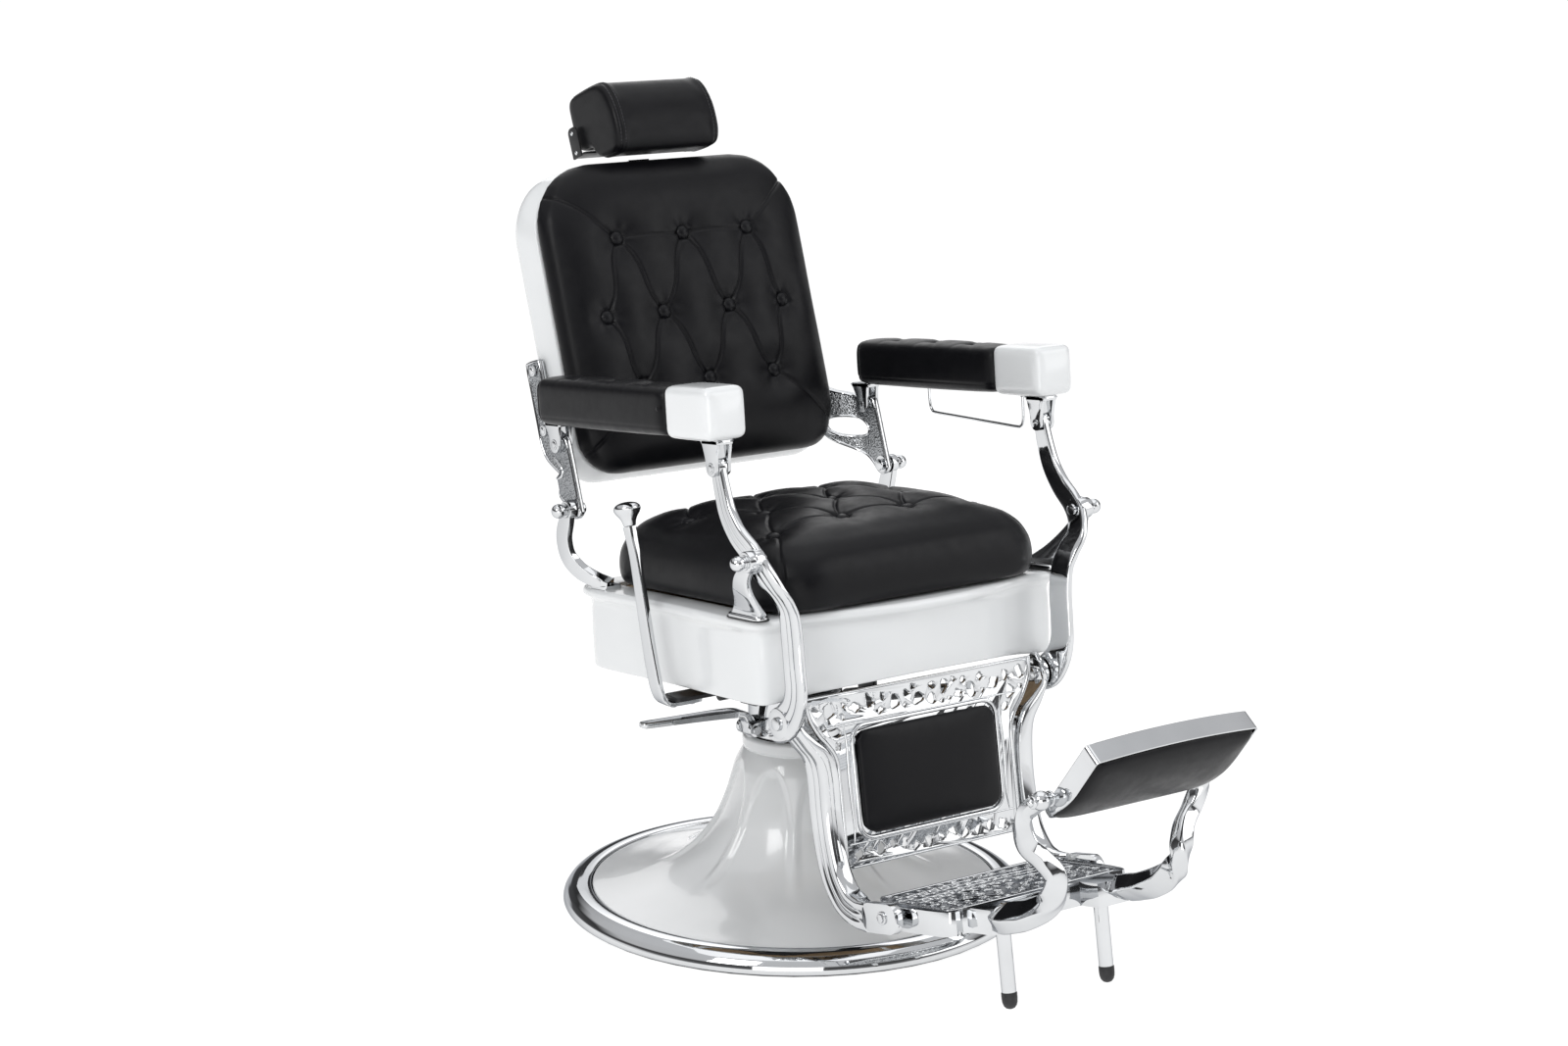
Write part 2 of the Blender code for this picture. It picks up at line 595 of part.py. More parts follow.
# ---- backrest -----------------------------------------------------------------------------
def build_back(frame):
    """Drawn in the back's own axes: x across, y through its thickness, z up its height."""
    rings = []
    for distance, depth in ((0.0, 0.0555), (0.0, 0.094), (0.003, 0.107), (0.012, 0.1165),
                            (0.030, 0.1200), (0.034, 0.1140), (0.0135, 0.1090),
                            (0.0075, 0.096), (0.0060, 0.0555)):
        outline = rounded_outline(0.243 - distance, 0.042 + distance, 0.522 - distance,
                                  max(0.060 - distance, 0.01), max(0.105 - distance, 0.01), 5)
        rings.append([(x, depth, z) for x, z in outline])
    shell_rings = rings[:5]
    inner_rings = rings[5:]
    bm = bmesh.new()
    rows = [[bm.verts.new(p) for p in ring] for ring in shell_rings + inner_rings]
    count = len(rows[0])
    for index in (0, 1, 2, 3, 5, 6, 7):
        bridge(bm, rows[index], rows[index + 1], count)
    bridge(bm, rows[8], rows[0], count)
    bm.faces.new(rows[4])
    bm.faces.new(rows[5])
    shell = finish("back_shell", bm, ENAMEL, frame)
    slot = box_mesh((-0.0215, 0.0890, 0.495), (0.0215, 0.0990, 0.540))
    boolean(shell, temporary(slot, frame), "DIFFERENCE")
    build_back_cushion(frame)
    guide = box_mesh((-0.0250, 0.0845, 0.400), (0.0250, 0.1136, 0.486), 0.001)
    guide = finish("headrest_guide", guide, DARK_STEEL, frame)
    bore = box_mesh((-0.0196, 0.0903, 0.38), (0.0196, 0.0977, 0.54))
    boolean(guide, temporary(bore, frame), "DIFFERENCE")
    for side, sign in SIDES:
        build_back_bracket(side, sign, frame)


def bridge(bm, first, second, count):
    for i in range(count):
        j = (i + 1) % count
        bm.faces.new((first[i], first[j], second[j], second[i]))


def build_back_cushion(frame):
    rings = []
    for distance, depth in ((0.006, 0.0550), (0.0, 0.046), (0.0, 0.032), (0.010, 0.014),
                            (0.030, 0.0045), (0.070, 0.001), (0.120, 0.0)):
        outline = rounded_outline(0.233 - distance, 0.050 + distance, 0.517 - distance,
                                  max(0.060 - distance, 0.012), max(0.095 - distance, 0.012), 5)
        rings.append([(x, depth, z) for x, z in outline])
    finish("back_cushion", loft(rings), LEATHER, frame, True, 180.0)


BRACKET_OUTLINE = ((-0.0140, 0.0), (-0.0120, -0.0100), (0.0, -0.0155), (0.0120, -0.0100),
                   (0.0220, 0.0080), (0.0450, 0.0330), (0.0700, 0.0540), (0.0950, 0.0760),
                   (0.1130, 0.0960), (0.1170, 0.1300), (0.1170, 0.2300), (0.1130, 0.2350),
                   (0.0840, 0.2340), (0.0800, 0.2290), (0.0800, 0.1650), (0.0720, 0.1400),
                   (0.0450, 0.1230), (0.0200, 0.1120), (0.0080, 0.1080), (-0.0120, 0.1080),
                   (-0.0140, 0.1050), (-0.0140, 0.0500))


def build_back_bracket(side, sign, frame):
    """Pierced triangular plate that steps inwards to the strap on the shell's side."""
    low, high = min(sign * 0.279, sign * 0.289), max(sign * 0.279, sign * 0.289)
    plate = extruded(BRACKET_OUTLINE, low, high, lambda a, b, depth: (depth, a, b))
    obj = finish(f"back_bracket_{side}", plate, CHROME, frame)
    hole = oval(0.049, 0.072, 0.033, 0.0135, 22.0, 12)
    cutter = extruded(hole, 0.20 * sign, 0.34 * sign, lambda a, b, depth: (depth, a, b))
    boolean(obj, temporary(cutter, frame), "DIFFERENCE")
    bore_x(obj, 0.0, 0.0, frame, local=True)
    y, z = ARM_REAR[0] - REAR[0], ARM_REAR[1] - REAR[1]
    turn = math.radians(BACK_TILT)
    local_y = y * math.cos(turn) + z * math.sin(turn)
    local_z = -y * math.sin(turn) + z * math.cos(turn)
    bore_x(obj, local_y, local_z, frame, local=True)
    step_inwards(obj, sign)


def step_inwards(obj, sign):
    """Joggle a flat plate towards the middle between two depths, in short straight folds."""
    bm = bmesh.new()
    bm.from_mesh(obj.data)
    for k in range(6):
        depth = 0.030 + 0.050 * k / 5
        bmesh.ops.bisect_plane(bm, geom=list(bm.verts) + list(bm.edges) + list(bm.faces),
                               dist=0.00001, plane_co=(0, depth, 0), plane_no=(0, 1, 0))
    for vert in bm.verts:
        blend = min(max((vert.co.y - 0.030) / 0.050, 0.0), 1.0)
        vert.co.x -= sign * 0.0350 * blend * blend * (3 - 2 * blend)
    bmesh.ops.triangulate(bm, faces=bm.faces)
    bm.to_mesh(obj.data)
    bm.free()
    obj.data.set_sharp_from_angle(angle=math.radians(30.0))


def oval(across, up, half_long, half_short, turn, steps):
    a = math.radians(turn)
    points = []
    for k in range(steps):
        u = half_long * math.cos(2 * math.pi * k / steps)
        v = half_short * math.sin(2 * math.pi * k / steps)
        points.append((across + u * math.cos(a) - v * math.sin(a),
                       up + u * math.sin(a) + v * math.cos(a)))
    return points


# ---- headrest -----------------------------------------------------------------------------
def build_headrest(back_frame, post_frame, pad_frame):
    bar_mesh = box_mesh((-0.0190, 0.0910, 0.370), (0.0190, 0.0970, 0.5345), 0.001)
    obj = finish("headrest_bar", bar_mesh, CHROME, back_frame)
    keep_place(obj, post_frame)
    base = box_mesh((-0.1035, 0.0225, -0.0450), (0.1035, 0.0520, -0.0415), 0.0008)
    bracket = finish("headrest_bracket", base, DARK_STEEL, post_frame)
    for sign in (-1.0, 1.0):
        low = min(sign * 0.1010, sign * 0.1035)
        wall = box_mesh((low, 0.0330, -0.0440), (low + 0.0025, 0.0560, 0.0020), 0.0006)
        boolean(bracket, temporary(wall, post_frame), "UNION")
    outline = [(-0.0575, -0.0530), (-0.0480, -0.0560), (0.0040, -0.0540), (0.0105, -0.0460),
               (0.0150, -0.0370), (0.0220, -0.0315), (0.0520, -0.0300), (0.0575, -0.0240),
               (0.0600, 0.0150), (0.0605, 0.0400), (0.0560, 0.0540), (0.0440, 0.0590),
               (-0.0200, 0.0575), (-0.0420, 0.0520), (-0.0560, 0.0360), (-0.0685, -0.0150),
               (-0.0670, -0.0400)]
    rings = []
    for x, shrink in ((-0.0985, 0.90), (-0.0940, 0.97), (-0.060, 1.0), (0.060, 1.0),
                      (0.0940, 0.97), (0.0985, 0.90)):
        rings.append([(x, y * shrink, z * shrink) for y, z in outline])
    dy, dz = HEADREST_MIDDLE[0] - HEADREST[0], HEADREST_MIDDLE[1] - HEADREST[1]
    turn = math.radians(HEADREST_TILT)
    shift = Vector((0.0, dy * math.cos(turn) + dz * math.sin(turn),
                    -dy * math.sin(turn) + dz * math.cos(turn)))
    bm = loft(rings)
    bmesh.ops.translate(bm, verts=bm.verts, vec=shift)
    finish("headrest_pad", bm, LEATHER, pad_frame, True, 60.0)


def keep_place(obj, frame):
    """Hand an object to another frame without moving it."""
    bpy.context.view_layer.update()
    place = obj.matrix_world.copy()
    obj.parent = frame
    obj.matrix_parent_inverse = frame.matrix_world.inverted() @ place


# ---- armrests -----------------------------------------------------------------------------
def build_armrests(frame):
    """Drawn in the arms' axes: y back along the arm, z up, from the rear pin."""
    y, z = ARM_FRONT[0] - ARM_REAR[0], ARM_FRONT[1] - ARM_REAR[1]
    turn = math.radians(ARM_TILT)
    front = (y * math.cos(turn) + z * math.sin(turn), -y * math.sin(turn) + z * math.cos(turn))
    for side, sign in SIDES:
        low, high = sign * ARM_X - ARM_HALF_WIDTH, sign * ARM_X + ARM_HALF_WIDTH
        cap = box_mesh((low, -0.446, 0.031), (high, -0.3402, 0.105), 0.008)
        finish(f"arm_cap_{side}", cap, ENAMEL, frame)
        pad = box_mesh((low + 0.001, -0.3398, 0.034), (high - 0.001, 0.004, 0.101), 0.010)
        finish(f"arm_pad_{side}", pad, LEATHER, frame)
        clevis(f"rear_clevis_{side}", sign * 0.284, 0.0105, (0.0, 0.0),
               (-0.018, 0.024, 0.0337), 0.013, frame)
        clevis(f"front_clevis_{side}", sign * 0.290, 0.0125, front,
               (-0.434, -0.392, 0.0307), 0.012, frame)
    wire = [(ARM_X, -0.146, 0.0334), (ARM_X, -0.147, 0.018), (ARM_X, -0.150, 0.0),
            (ARM_X, -0.160, -0.007), (ARM_X, -0.260, -0.0135), (ARM_X, -0.355, -0.020),
            (ARM_X, -0.3660, -0.014), (ARM_X, -0.3680, 0.0), (ARM_X, -0.3680, 0.0304)]
    tube_local("towel_rail", wire, 0.0026, CHROME, frame)


def tube_local(name, points, radius, look, frame):
    obj = tube(name, points, radius, look, frame, 6, 1)
    obj.matrix_parent_inverse = Matrix.Identity(4)
    return obj


def clevis(name, x, inner_gap, pin, top, ear_radius, frame):
    """Two ears on a top plate, straddling a tongue at x and carrying the pin."""
    ear_thickness = 0.0055
    y0, y1, z_top = top
    outer = inner_gap / 2 + 0.0015 + ear_thickness
    plate = box_mesh((x - outer, y0, z_top - 0.006), (x + outer, y1, z_top), 0.001)
    obj = finish(name, plate, CHROME, frame)
    arc = [(pin[0] + ear_radius * math.cos(math.radians(a)),
            pin[1] + ear_radius * math.sin(math.radians(a))) for a in range(180, 361, 30)]
    outline = arc + [(y1 - 0.001, z_top - 0.003), (y0 + 0.001, z_top - 0.003)]
    for sign in (-1.0, 1.0):
        start = x + sign * (inner_gap / 2 + 0.0015)
        end = x + sign * outer
        ear = extruded(outline, min(start, end), max(start, end),
                       lambda a, b, depth: (depth, a, b))
        boolean(obj, temporary(ear, frame), "UNION")
    rod = rod_mesh((x - outer - 0.002, *pin), (x + outer + 0.002, *pin), 0.0045, 12)
    boolean(obj, temporary(rod, frame), "UNION")


# ---- front struts and calf frame ----------------------------------------------------------
def build_struts(frame):
    for side, sign in SIDES:
        stations = [(0.2900, -0.2120, 0.7480, 0.0120, 0.0200),
                    (0.2900, -0.2160, 0.7300, 0.0120, 0.0250),
                    (0.2900, -0.2245, 0.7050, 0.0120, 0.0290),
                    (0.2905, -0.2375, 0.6760, 0.0120, 0.0320),
                    (0.2900, -0.2600, 0.6500, 0.0120, 0.0340),
                    (0.2875, -0.2880, 0.6300, 0.0120, 0.0360),
                    (0.2840, -0.3050, 0.6110, 0.0120, 0.0380),
                    (0.2740, -0.3160, 0.5900, 0.0120, 0.0400),
                    (0.2570, -0.3185, 0.5670, 0.0120, 0.0400),
                    (0.2460, -0.3185, 0.5450, 0.0120, 0.0400),
                    (0.2420, -0.3200, 0.5100, 0.0120, 0.0420),
                    (0.2415, -0.3250, 0.4700, 0.0120, 0.0420),
                    (0.2405, -0.3280, 0.4380, 0.0120, 0.0430),
                    (0.2395, -0.3220, 0.4130, 0.0120, 0.0440),
                    (0.2390, -0.3030, 0.3910, 0.0120, 0.0480),
                    (0.2390, -0.2820, 0.3740, 0.0120, 0.0400)]
        obj = bar(f"strut_{side}", [(sign * s[0], *s[1:]) for s in stations], CHROME, frame,
                  Vector((1, 0, 0)))
        bore_x(obj, *KNEE, frame)
        bore_x(obj, *LEG, frame)
        bore_x(obj, *ARM_FRONT, frame, radius=0.0065)


def build_leg_frame(frame):
    """Rails in world axes; panel and pad drawn in the panel's own plane."""
    for side, sign in SIDES:
        stations = [(0.2225, -0.2870, 0.4050, 0.0100, 0.0300),
                    (0.2225, -0.2910, 0.3880, 0.0100, 0.0400),
                    (0.2215, -0.2950, 0.3700, 0.0110, 0.0420),
                    (0.2060, -0.2990, 0.3520, 0.0180, 0.0430),
                    (0.1860, -0.3020, 0.3300, 0.0250, 0.0440),
                    (0.1775, -0.3050, 0.3020, 0.0280, 0.0450),
                    (0.1760, -0.3110, 0.2500, 0.0280, 0.0450),
                    (0.1760, -0.3230, 0.2000, 0.0280, 0.0450),
                    (0.1760, -0.3390, 0.1620, 0.0280, 0.0450),
                    (0.1760, -0.3640, 0.1350, 0.0270, 0.0450),
                    (0.1765, -0.3970, 0.1260, 0.0250, 0.0450),
                    (0.1825, -0.4280, 0.1290, 0.0130, 0.0450),
                    (0.1830, -0.4600, 0.1370, 0.0130, 0.0450),
                    (0.1830, -0.4860, 0.1430, 0.0130, 0.0380)]
        obj = bar(f"leg_rail_{side}", [(sign * s[0], *s[1:]) for s in stations], CHROME, frame,
                  Vector((1, 0, 0)))
        bore_x(obj, *LEG, frame)
        bore_x(obj, *TREAD, frame)
        bolt = rod_mesh((sign * 0.2140, *LEG), (sign * 0.2490, *LEG), PIN_RADIUS, 12)
        obj = finish(f"leg_bolt_{side}", bolt, CHROME, frame, False)
        for start, end in ((0.2100, 0.2160), (0.2460, 0.2510)):
            head = rod_mesh((sign * start, *LEG), (sign * end, *LEG), 0.0085, 12)
            boolean(obj, temporary(head, frame, False), "UNION")
    finish("tread_rod", rod_mesh((-0.1920, *TREAD), (0.1920, *TREAD), PIN_RADIUS, 12), CHROME,
           frame, False)
    half = [(0.205, 0.028), (0.202, 0.002), (0.186, -0.028), (0.165, -0.054), (0.1600, -0.080),
            (0.1600, -0.200), (0.148, -0.221)]
    outline = [(x, z) for x, z in half] + [(-x, z) for x, z in reversed(half)]
    panel = finish("calf_panel", extruded(outline, -0.0090, -0.0040, upright), CHROME, frame)
    holes = bmesh.new()
    for count, reach, z, radius in ((11, 0.165, 0.002, 0.0085), (9, 0.125, -0.200, 0.0075)):
        for k in range(count):
            x = -reach + 2 * reach * k / (count - 1)
            bmesh.ops.create_cone(holes, cap_ends=True, segments=8, radius1=radius,
                                  radius2=radius, depth=0.04,
                                  matrix=Matrix.Translation((x, -0.0065, z))
                                  @ Matrix.Rotation(math.pi / 2, 4, "X"))
    boolean(panel, temporary(holes, frame), "DIFFERENCE")
    rings = []
    for distance, depth in ((0.003, -0.0093), (0.0, -0.0130), (0.002, -0.0180),
                            (0.010, -0.0215), (0.035, -0.0235)):
        shape = rounded_outline(0.128 - distance, -0.180 + distance, -0.0245 - distance,
                                0.022, 0.022, 4)
        rings.append([upright(x, z, depth) for x, z in shape])
    finish("calf_pad", loft(rings), LEATHER, frame, True, 60.0)


def upright(a, b, depth):
    return (a, depth, b)


# ---- tread, pegs and foot pad -------------------------------------------------------------
TREAD_HALF = ((0.137, 0.070), (0.151, 0.045), (0.156, 0.022), (0.168, 0.012), (0.168, -0.035),
              (0.163, -0.095), (0.150, -0.112), (0.134, -0.104), (0.124, -0.112),
              (0.122, -0.152), (0.068, -0.152), (0.068, -0.114))
PEG_X = 0.0875


def build_tread(frame):
    """Drawn in the tread's axes: y back, z square to the tread, from its hinge."""
    outline = [(x, y) for x, y in TREAD_HALF] + [(-x, y) for x, y in reversed(TREAD_HALF)]
    outline = list(reversed(outline))
    inner = inset(outline, 0.005)
    top, under, low = 0.014, 0.009, -0.022
    bm = bmesh.new()
    rows = []
    for points, z in ((outline, top), (outline, low), (inner, low), (inner, under)):
        rows.append([bm.verts.new((x, y, z)) for x, y in points])
    for first, second in zip(rows, rows[1:]):
        bridge(bm, first, second, len(outline))
    bm.faces.new(rows[0])
    bm.faces.new(rows[3])
    plate = finish("tread_plate", bm, CHROME, frame)
    bore_x(plate, 0.0, 0.0, frame, local=True)
    holes = bmesh.new()
    for row in range(3):
        for k in range(8):
            x = -0.119 + 0.034 * k
            bmesh.ops.create_cone(holes, cap_ends=True, segments=6, radius1=0.008,
                                  radius2=0.008, depth=0.02,
                                  matrix=Matrix.Translation((x, 0.040 - 0.050 * row, 0.0145)))
    boolean(plate, temporary(holes, frame), "DIFFERENCE")
    for side, sign in SIDES:
        x = sign * PEG_X
        profile = ((0.0125, 0.0086), (0.0125, -0.118), (0.0118, -0.126), (0.0070, -0.131))
        rings = [[(x + r * math.cos(2 * math.pi * k / 16),
                   -0.132 + r * math.sin(2 * math.pi * k / 16), z) for k in range(16)]
                 for r, z in profile]
        finish(f"peg_{side}", loft(rings), CHROME, frame)
        path = [(0.1080, -0.6108, 0.1668), (0.1080, -0.6148, 0.1675), (0.1080, -0.6200, 0.1684),
                (0.1085, -0.6400, 0.1755),
                (0.1085, -0.6680, 0.1860),
                (0.1085, -0.7035, 0.2080), (0.1105, -0.7233, 0.2335), (0.1120, -0.7254, 0.2589),
                (0.1258, -0.7147, 0.2802), (0.1456, -0.7081, 0.3006), (0.1565, -0.7105, 0.3280),
                (0.1570, -0.7182, 0.3508), (0.1556, -0.7400, 0.3700)]
        arm = tube(f"pad_arm_{side}", [(sign * p[0], *p[1:]) for p in path], 0.0110, CHROME,
                   frame)
        ball = bmesh.new()
        bmesh.ops.create_uvsphere(ball, u_segments=14, v_segments=9, radius=0.0130,
                                  matrix=Matrix.Translation((sign * 0.1555, *FOOT)))
        boolean(arm, temporary(ball, frame, False), "UNION")
        bore_x(arm, *FOOT, frame)


def tray_depth(up):
    """Depth of the tray's side wall: deep at the top end, nothing at the lower end."""
    t = min(max((up + 0.042) / 0.092, 0.0), 1.0)
    return 0.0045 + 0.0250 * math.sin(t * math.pi / 2)


def build_foot_pad(frame):
    """Drawn in the pad's axes: z up its slope, y into the leather side."""
    outline = rounded_outline(0.141, -0.042, 0.118, 0.010, 0.004, 2, 6)
    inner = inset(outline, 0.0035)
    bm = bmesh.new()
    rows = [[bm.verts.new((x, 0.0, z)) for x, z in outline],
            [bm.verts.new((x, -tray_depth(z), z)) for x, z in outline],
            [bm.verts.new((x, -tray_depth(z), z)) for x, z in inner],
            [bm.verts.new((x, -0.003, z)) for x, z in inner]]
    for first, second in zip(rows, rows[1:]):
        bridge(bm, first, second, len(outline))
    bm.faces.new(rows[0])
    bm.faces.new(rows[3])
    tray = finish("foot_tray", bm, CHROME, frame)
    for sign in (-1.0, 1.0):
        for start, end, radius in ((0.1390, 0.1418, 0.0100), (0.1400, 0.1700, PIN_RADIUS),
                                   (0.1692, 0.1730, 0.0080)):
            piece = rod_mesh((sign * start, 0, 0), (sign * end, 0, 0), radius, 12)
            boolean(tray, temporary(piece, frame), "UNION")
    pad = inset(outline, 0.0040)
    rings = [[(x, -0.0035, z) for x, z in pad]]
    for distance, proud in ((0.0, 0.0), (0.003, 0.004), (0.012, 0.0075), (0.040, 0.0095)):
        scale_x = (0.137 - distance) / 0.137
        scale_z = (0.076 - distance) / 0.076
        rings.append([(x * scale_x, -tray_depth(z) - proud, 0.038 + (z - 0.038) * scale_z)
                      for x, z in pad])
    finish("foot_leather", loft(rings), LEATHER, frame, True, 60.0)


# ---- the whole chair ----------------------------------------------------------------------
clear_scene()
PARTS = make_collection("barber_chair")

build_base()
SWIVEL = make_frame("axis_swivel", 0.0, 0.0, 0.0)
build_pump(SWIVEL)
PUMP = make_frame("axis_pump_lever", 0.0, PUMP_PIVOT[1], 0.0, SWIVEL, PUMP_PIVOT[0])
build_pump_lever(PUMP)

SEAT = make_frame("axis_lift", 0.0, RIM_HEIGHT, SEAT_TILT, SWIVEL)
build_seat_frame(SEAT)
build_skirt(SEAT)
build_seat_cushion(SEAT)
build_brackets(SEAT)
LEVER = make_frame("axis_recline_lever", *RECLINE_SHAFT, 0.0, SEAT)
build_recline_lever(LEVER)
LOCK = make_frame("axis_lock_rod", *LEG, 0.0, SEAT)
build_lock(SEAT, LOCK)

BACK = make_frame("axis_backrest", *REAR, BACK_TILT, SEAT)
build_back(BACK)
POST = make_frame("axis_headrest_slide", *HEADREST_MIDDLE, HEADREST_TILT, BACK)
PAD = make_frame("axis_headrest_tilt", *HEADREST, HEADREST_TILT, POST)
build_headrest(BACK, POST, PAD)
ARMS = make_frame("axis_armrests", *ARM_REAR, ARM_TILT, BACK)
build_armrests(ARMS)

STRUTS = make_frame("axis_struts", *KNEE, 0.0, SEAT)
build_struts(STRUTS)
CALF = make_frame("axis_calf_frame", *LEG, LEG_TILT, STRUTS)
build_leg_frame(CALF)
STEP = make_frame("axis_tread", *TREAD, TREAD_TILT, CALF)
build_tread(STEP)
FLIP = make_frame("axis_foot_pad", *FOOT, FOOT_TILT, STEP)
build_foot_pad(FLIP)
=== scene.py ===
"""Looks of the hydraulic barber chair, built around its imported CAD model."""

import math
import random

import bmesh
import bpy
import numpy as np
from mathutils import Matrix, Vector


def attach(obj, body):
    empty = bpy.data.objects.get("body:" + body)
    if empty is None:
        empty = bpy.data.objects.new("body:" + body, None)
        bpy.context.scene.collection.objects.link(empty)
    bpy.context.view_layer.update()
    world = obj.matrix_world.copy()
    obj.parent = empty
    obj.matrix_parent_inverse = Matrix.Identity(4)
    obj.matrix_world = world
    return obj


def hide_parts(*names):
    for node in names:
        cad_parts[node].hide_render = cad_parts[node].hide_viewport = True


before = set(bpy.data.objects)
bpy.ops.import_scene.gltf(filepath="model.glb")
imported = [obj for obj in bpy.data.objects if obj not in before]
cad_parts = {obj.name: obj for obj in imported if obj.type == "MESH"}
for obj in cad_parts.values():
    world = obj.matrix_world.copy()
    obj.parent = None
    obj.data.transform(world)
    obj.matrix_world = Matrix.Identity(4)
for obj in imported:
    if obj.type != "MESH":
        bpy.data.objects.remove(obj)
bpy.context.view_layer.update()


# ---- places: the CAD's own axes ------------------------------------------------------------
def tilted(y, z, degrees, x=0.0):
    return Matrix.Translation((x, y, z)) @ Matrix.Rotation(math.radians(degrees), 4, "X")


WORLD = Matrix.Identity(4)
RIM_HEIGHT, RIM_SLOPE = 0.5064, 0.083
KNEE = (-0.300, 0.622)
REAR = (0.155, 0.6126)
ARM_REAR = (0.197, 0.7025)
ARM_FRONT = (-0.215, 0.737)
LEG = (-0.293, 0.384)
TREAD = (-0.4606, 0.1393)
FOOT = (-0.745, 0.373)
PUMP_PIVOT = (-0.0845, 0.283)
SHAFT = (-0.085, 0.370)
ARM_X = 0.293
SEAT_M = tilted(0.0, RIM_HEIGHT, -4.75)
BACK_LEAN, ARM_LEAN = 19.0, 6.0
BACK_M = tilted(*REAR, -BACK_LEAN)
ARMS_M = tilted(*ARM_REAR, -ARM_LEAN)
HEAD_M = tilted(0.4006, 1.144, -22.0)
CALF_M = tilted(*LEG, -9.96)
TREAD_M = tilted(*TREAD, -10.0)
FOOT_M = tilted(*FOOT, 37.0)
SIDES = (("right", -1.0), ("left", 1.0))


# ---- materials -----------------------------------------------------------------------------
def shader(name, colour, roughness, metallic=0.0, **sockets):
    material = bpy.data.materials.new(name)
    material.use_nodes = True
    node = material.node_tree.nodes["Principled BSDF"]
    node.inputs["Base Color"].default_value = (*colour, 1.0)
    node.inputs["Roughness"].default_value = roughness
    node.inputs["Metallic"].default_value = metallic
    for label, value in sockets.items():
        node.inputs[label.replace("_", " ")].default_value = value
    material.diffuse_color = (*colour, 1.0)
    return material


def noise(material, scale, detail=3.0, roughness=0.5, stretch=(1, 1, 1)):
    """A noise texture in object space, in cells per metre."""
    tree = material.node_tree
    where = tree.nodes.new("ShaderNodeTexCoord")
    mapping = tree.nodes.new("ShaderNodeMapping")
    mapping.inputs["Scale"].default_value = stretch
    texture = tree.nodes.new("ShaderNodeTexNoise")
    texture.inputs["Scale"].default_value = scale
    texture.inputs["Detail"].default_value = detail
    texture.inputs["Roughness"].default_value = roughness
    tree.links.new(where.outputs["Object"], mapping.inputs["Vector"])
    tree.links.new(mapping.outputs["Vector"], texture.inputs["Vector"])
    return texture.outputs["Fac"]


def cells(material, scale, feature="F1"):
    tree = material.node_tree
    where = tree.nodes.new("ShaderNodeTexCoord")
    texture = tree.nodes.new("ShaderNodeTexVoronoi")
    texture.feature = feature
    texture.inputs["Scale"].default_value = scale
    tree.links.new(where.outputs["Object"], texture.inputs["Vector"])
    return texture.outputs["Distance"]


def spread(material, source, low, high, start=0.3, end=0.7):
    """Map a 0-1 source on to a range of values."""
    tree = material.node_tree
    node = tree.nodes.new("ShaderNodeMapRange")
    node.inputs["From Min"].default_value = start
    node.inputs["From Max"].default_value = end
    node.inputs["To Min"].default_value = low
    node.inputs["To Max"].default_value = high
    tree.links.new(source, node.inputs["Value"])
    return node.outputs["Result"]


def tint(material, source, dark, light):
    """Blend two close colours by a source."""
    tree = material.node_tree
    ramp = tree.nodes.new("ShaderNodeValToRGB")
    ramp.color_ramp.elements[0].position = 0.3
    ramp.color_ramp.elements[1].position = 0.7
    ramp.color_ramp.elements[0].color = (*dark, 1.0)
    ramp.color_ramp.elements[1].color = (*light, 1.0)
    tree.links.new(source, ramp.inputs["Fac"])
    node = tree.nodes["Principled BSDF"]
    tree.links.new(ramp.outputs["Color"], node.inputs["Base Color"])


def rough(material, source, low, high):
    tree = material.node_tree
    value = spread(material, source, low, high)
    tree.links.new(value, tree.nodes["Principled BSDF"].inputs["Roughness"])


def bump(material, layers):
    """Stack bump layers given as (source, strength, distance)."""
    tree = material.node_tree
    below = None
    for source, strength, distance in layers:
        node = tree.nodes.new("ShaderNodeBump")
        node.inputs["Strength"].default_value = strength
        node.inputs["Distance"].default_value = distance
        tree.links.new(source, node.inputs["Height"])
        if below is not None:
            tree.links.new(below, node.inputs["Normal"])
        below = node.outputs["Normal"]
    tree.links.new(below, tree.nodes["Principled BSDF"].inputs["Normal"])


def dressed(material, tints=None, roughs=None, bumps=()):
    """Add variation from noise: each entry starts with the noise's scale and detail."""
    if tints:
        tint(material, noise(material, *tints[:2]), *tints[2:])
    if roughs:
        rough(material, noise(material, *roughs[:2]), *roughs[2:])
    if bumps:
        bump(material, [(noise(material, *entry[:2]), *entry[2:]) for entry in bumps])
    return material


def make_chrome(name, low=0.025, high=0.075, wave=0.10, grey=0.68):
    material = shader(name, (grey, grey + 0.01, grey + 0.02), 0.05, 1.0)
    edge = material.node_tree.nodes["Principled BSDF"].inputs["Specular Tint"]
    edge.default_value = (0.42, 0.43, 0.45, 1.0)
    return dressed(material, (9, 4.0, (grey - 0.04, grey - 0.03, grey - 0.02),
                              (grey + 0.04, grey + 0.05, grey + 0.06)),
                   (22, 5.0, low, high), ((26, 1.0, wave, 0.0006), (900, 2.0, 0.02, 0.0001)))


def make_leather(name, colour=(0.0034, 0.0034, 0.0044), shine=(0.30, 0.42)):
    material = shader(name, colour, 0.4, Specular_IOR_Level=0.18, Sheen_Weight=0.01,
                      Sheen_Roughness=0.4)
    dressed(material, (14, 4.0, colour, tuple(c * 1.35 for c in colour)), (60, 5.0, *shine))
    bump(material, [(noise(material, 120, 3.0), 0.12, 0.0006),
                    (cells(material, 800, "DISTANCE_TO_EDGE"), 0.30, 0.00035),
                    (noise(material, 2600, 2.0), 0.15, 0.0001)])
    return material


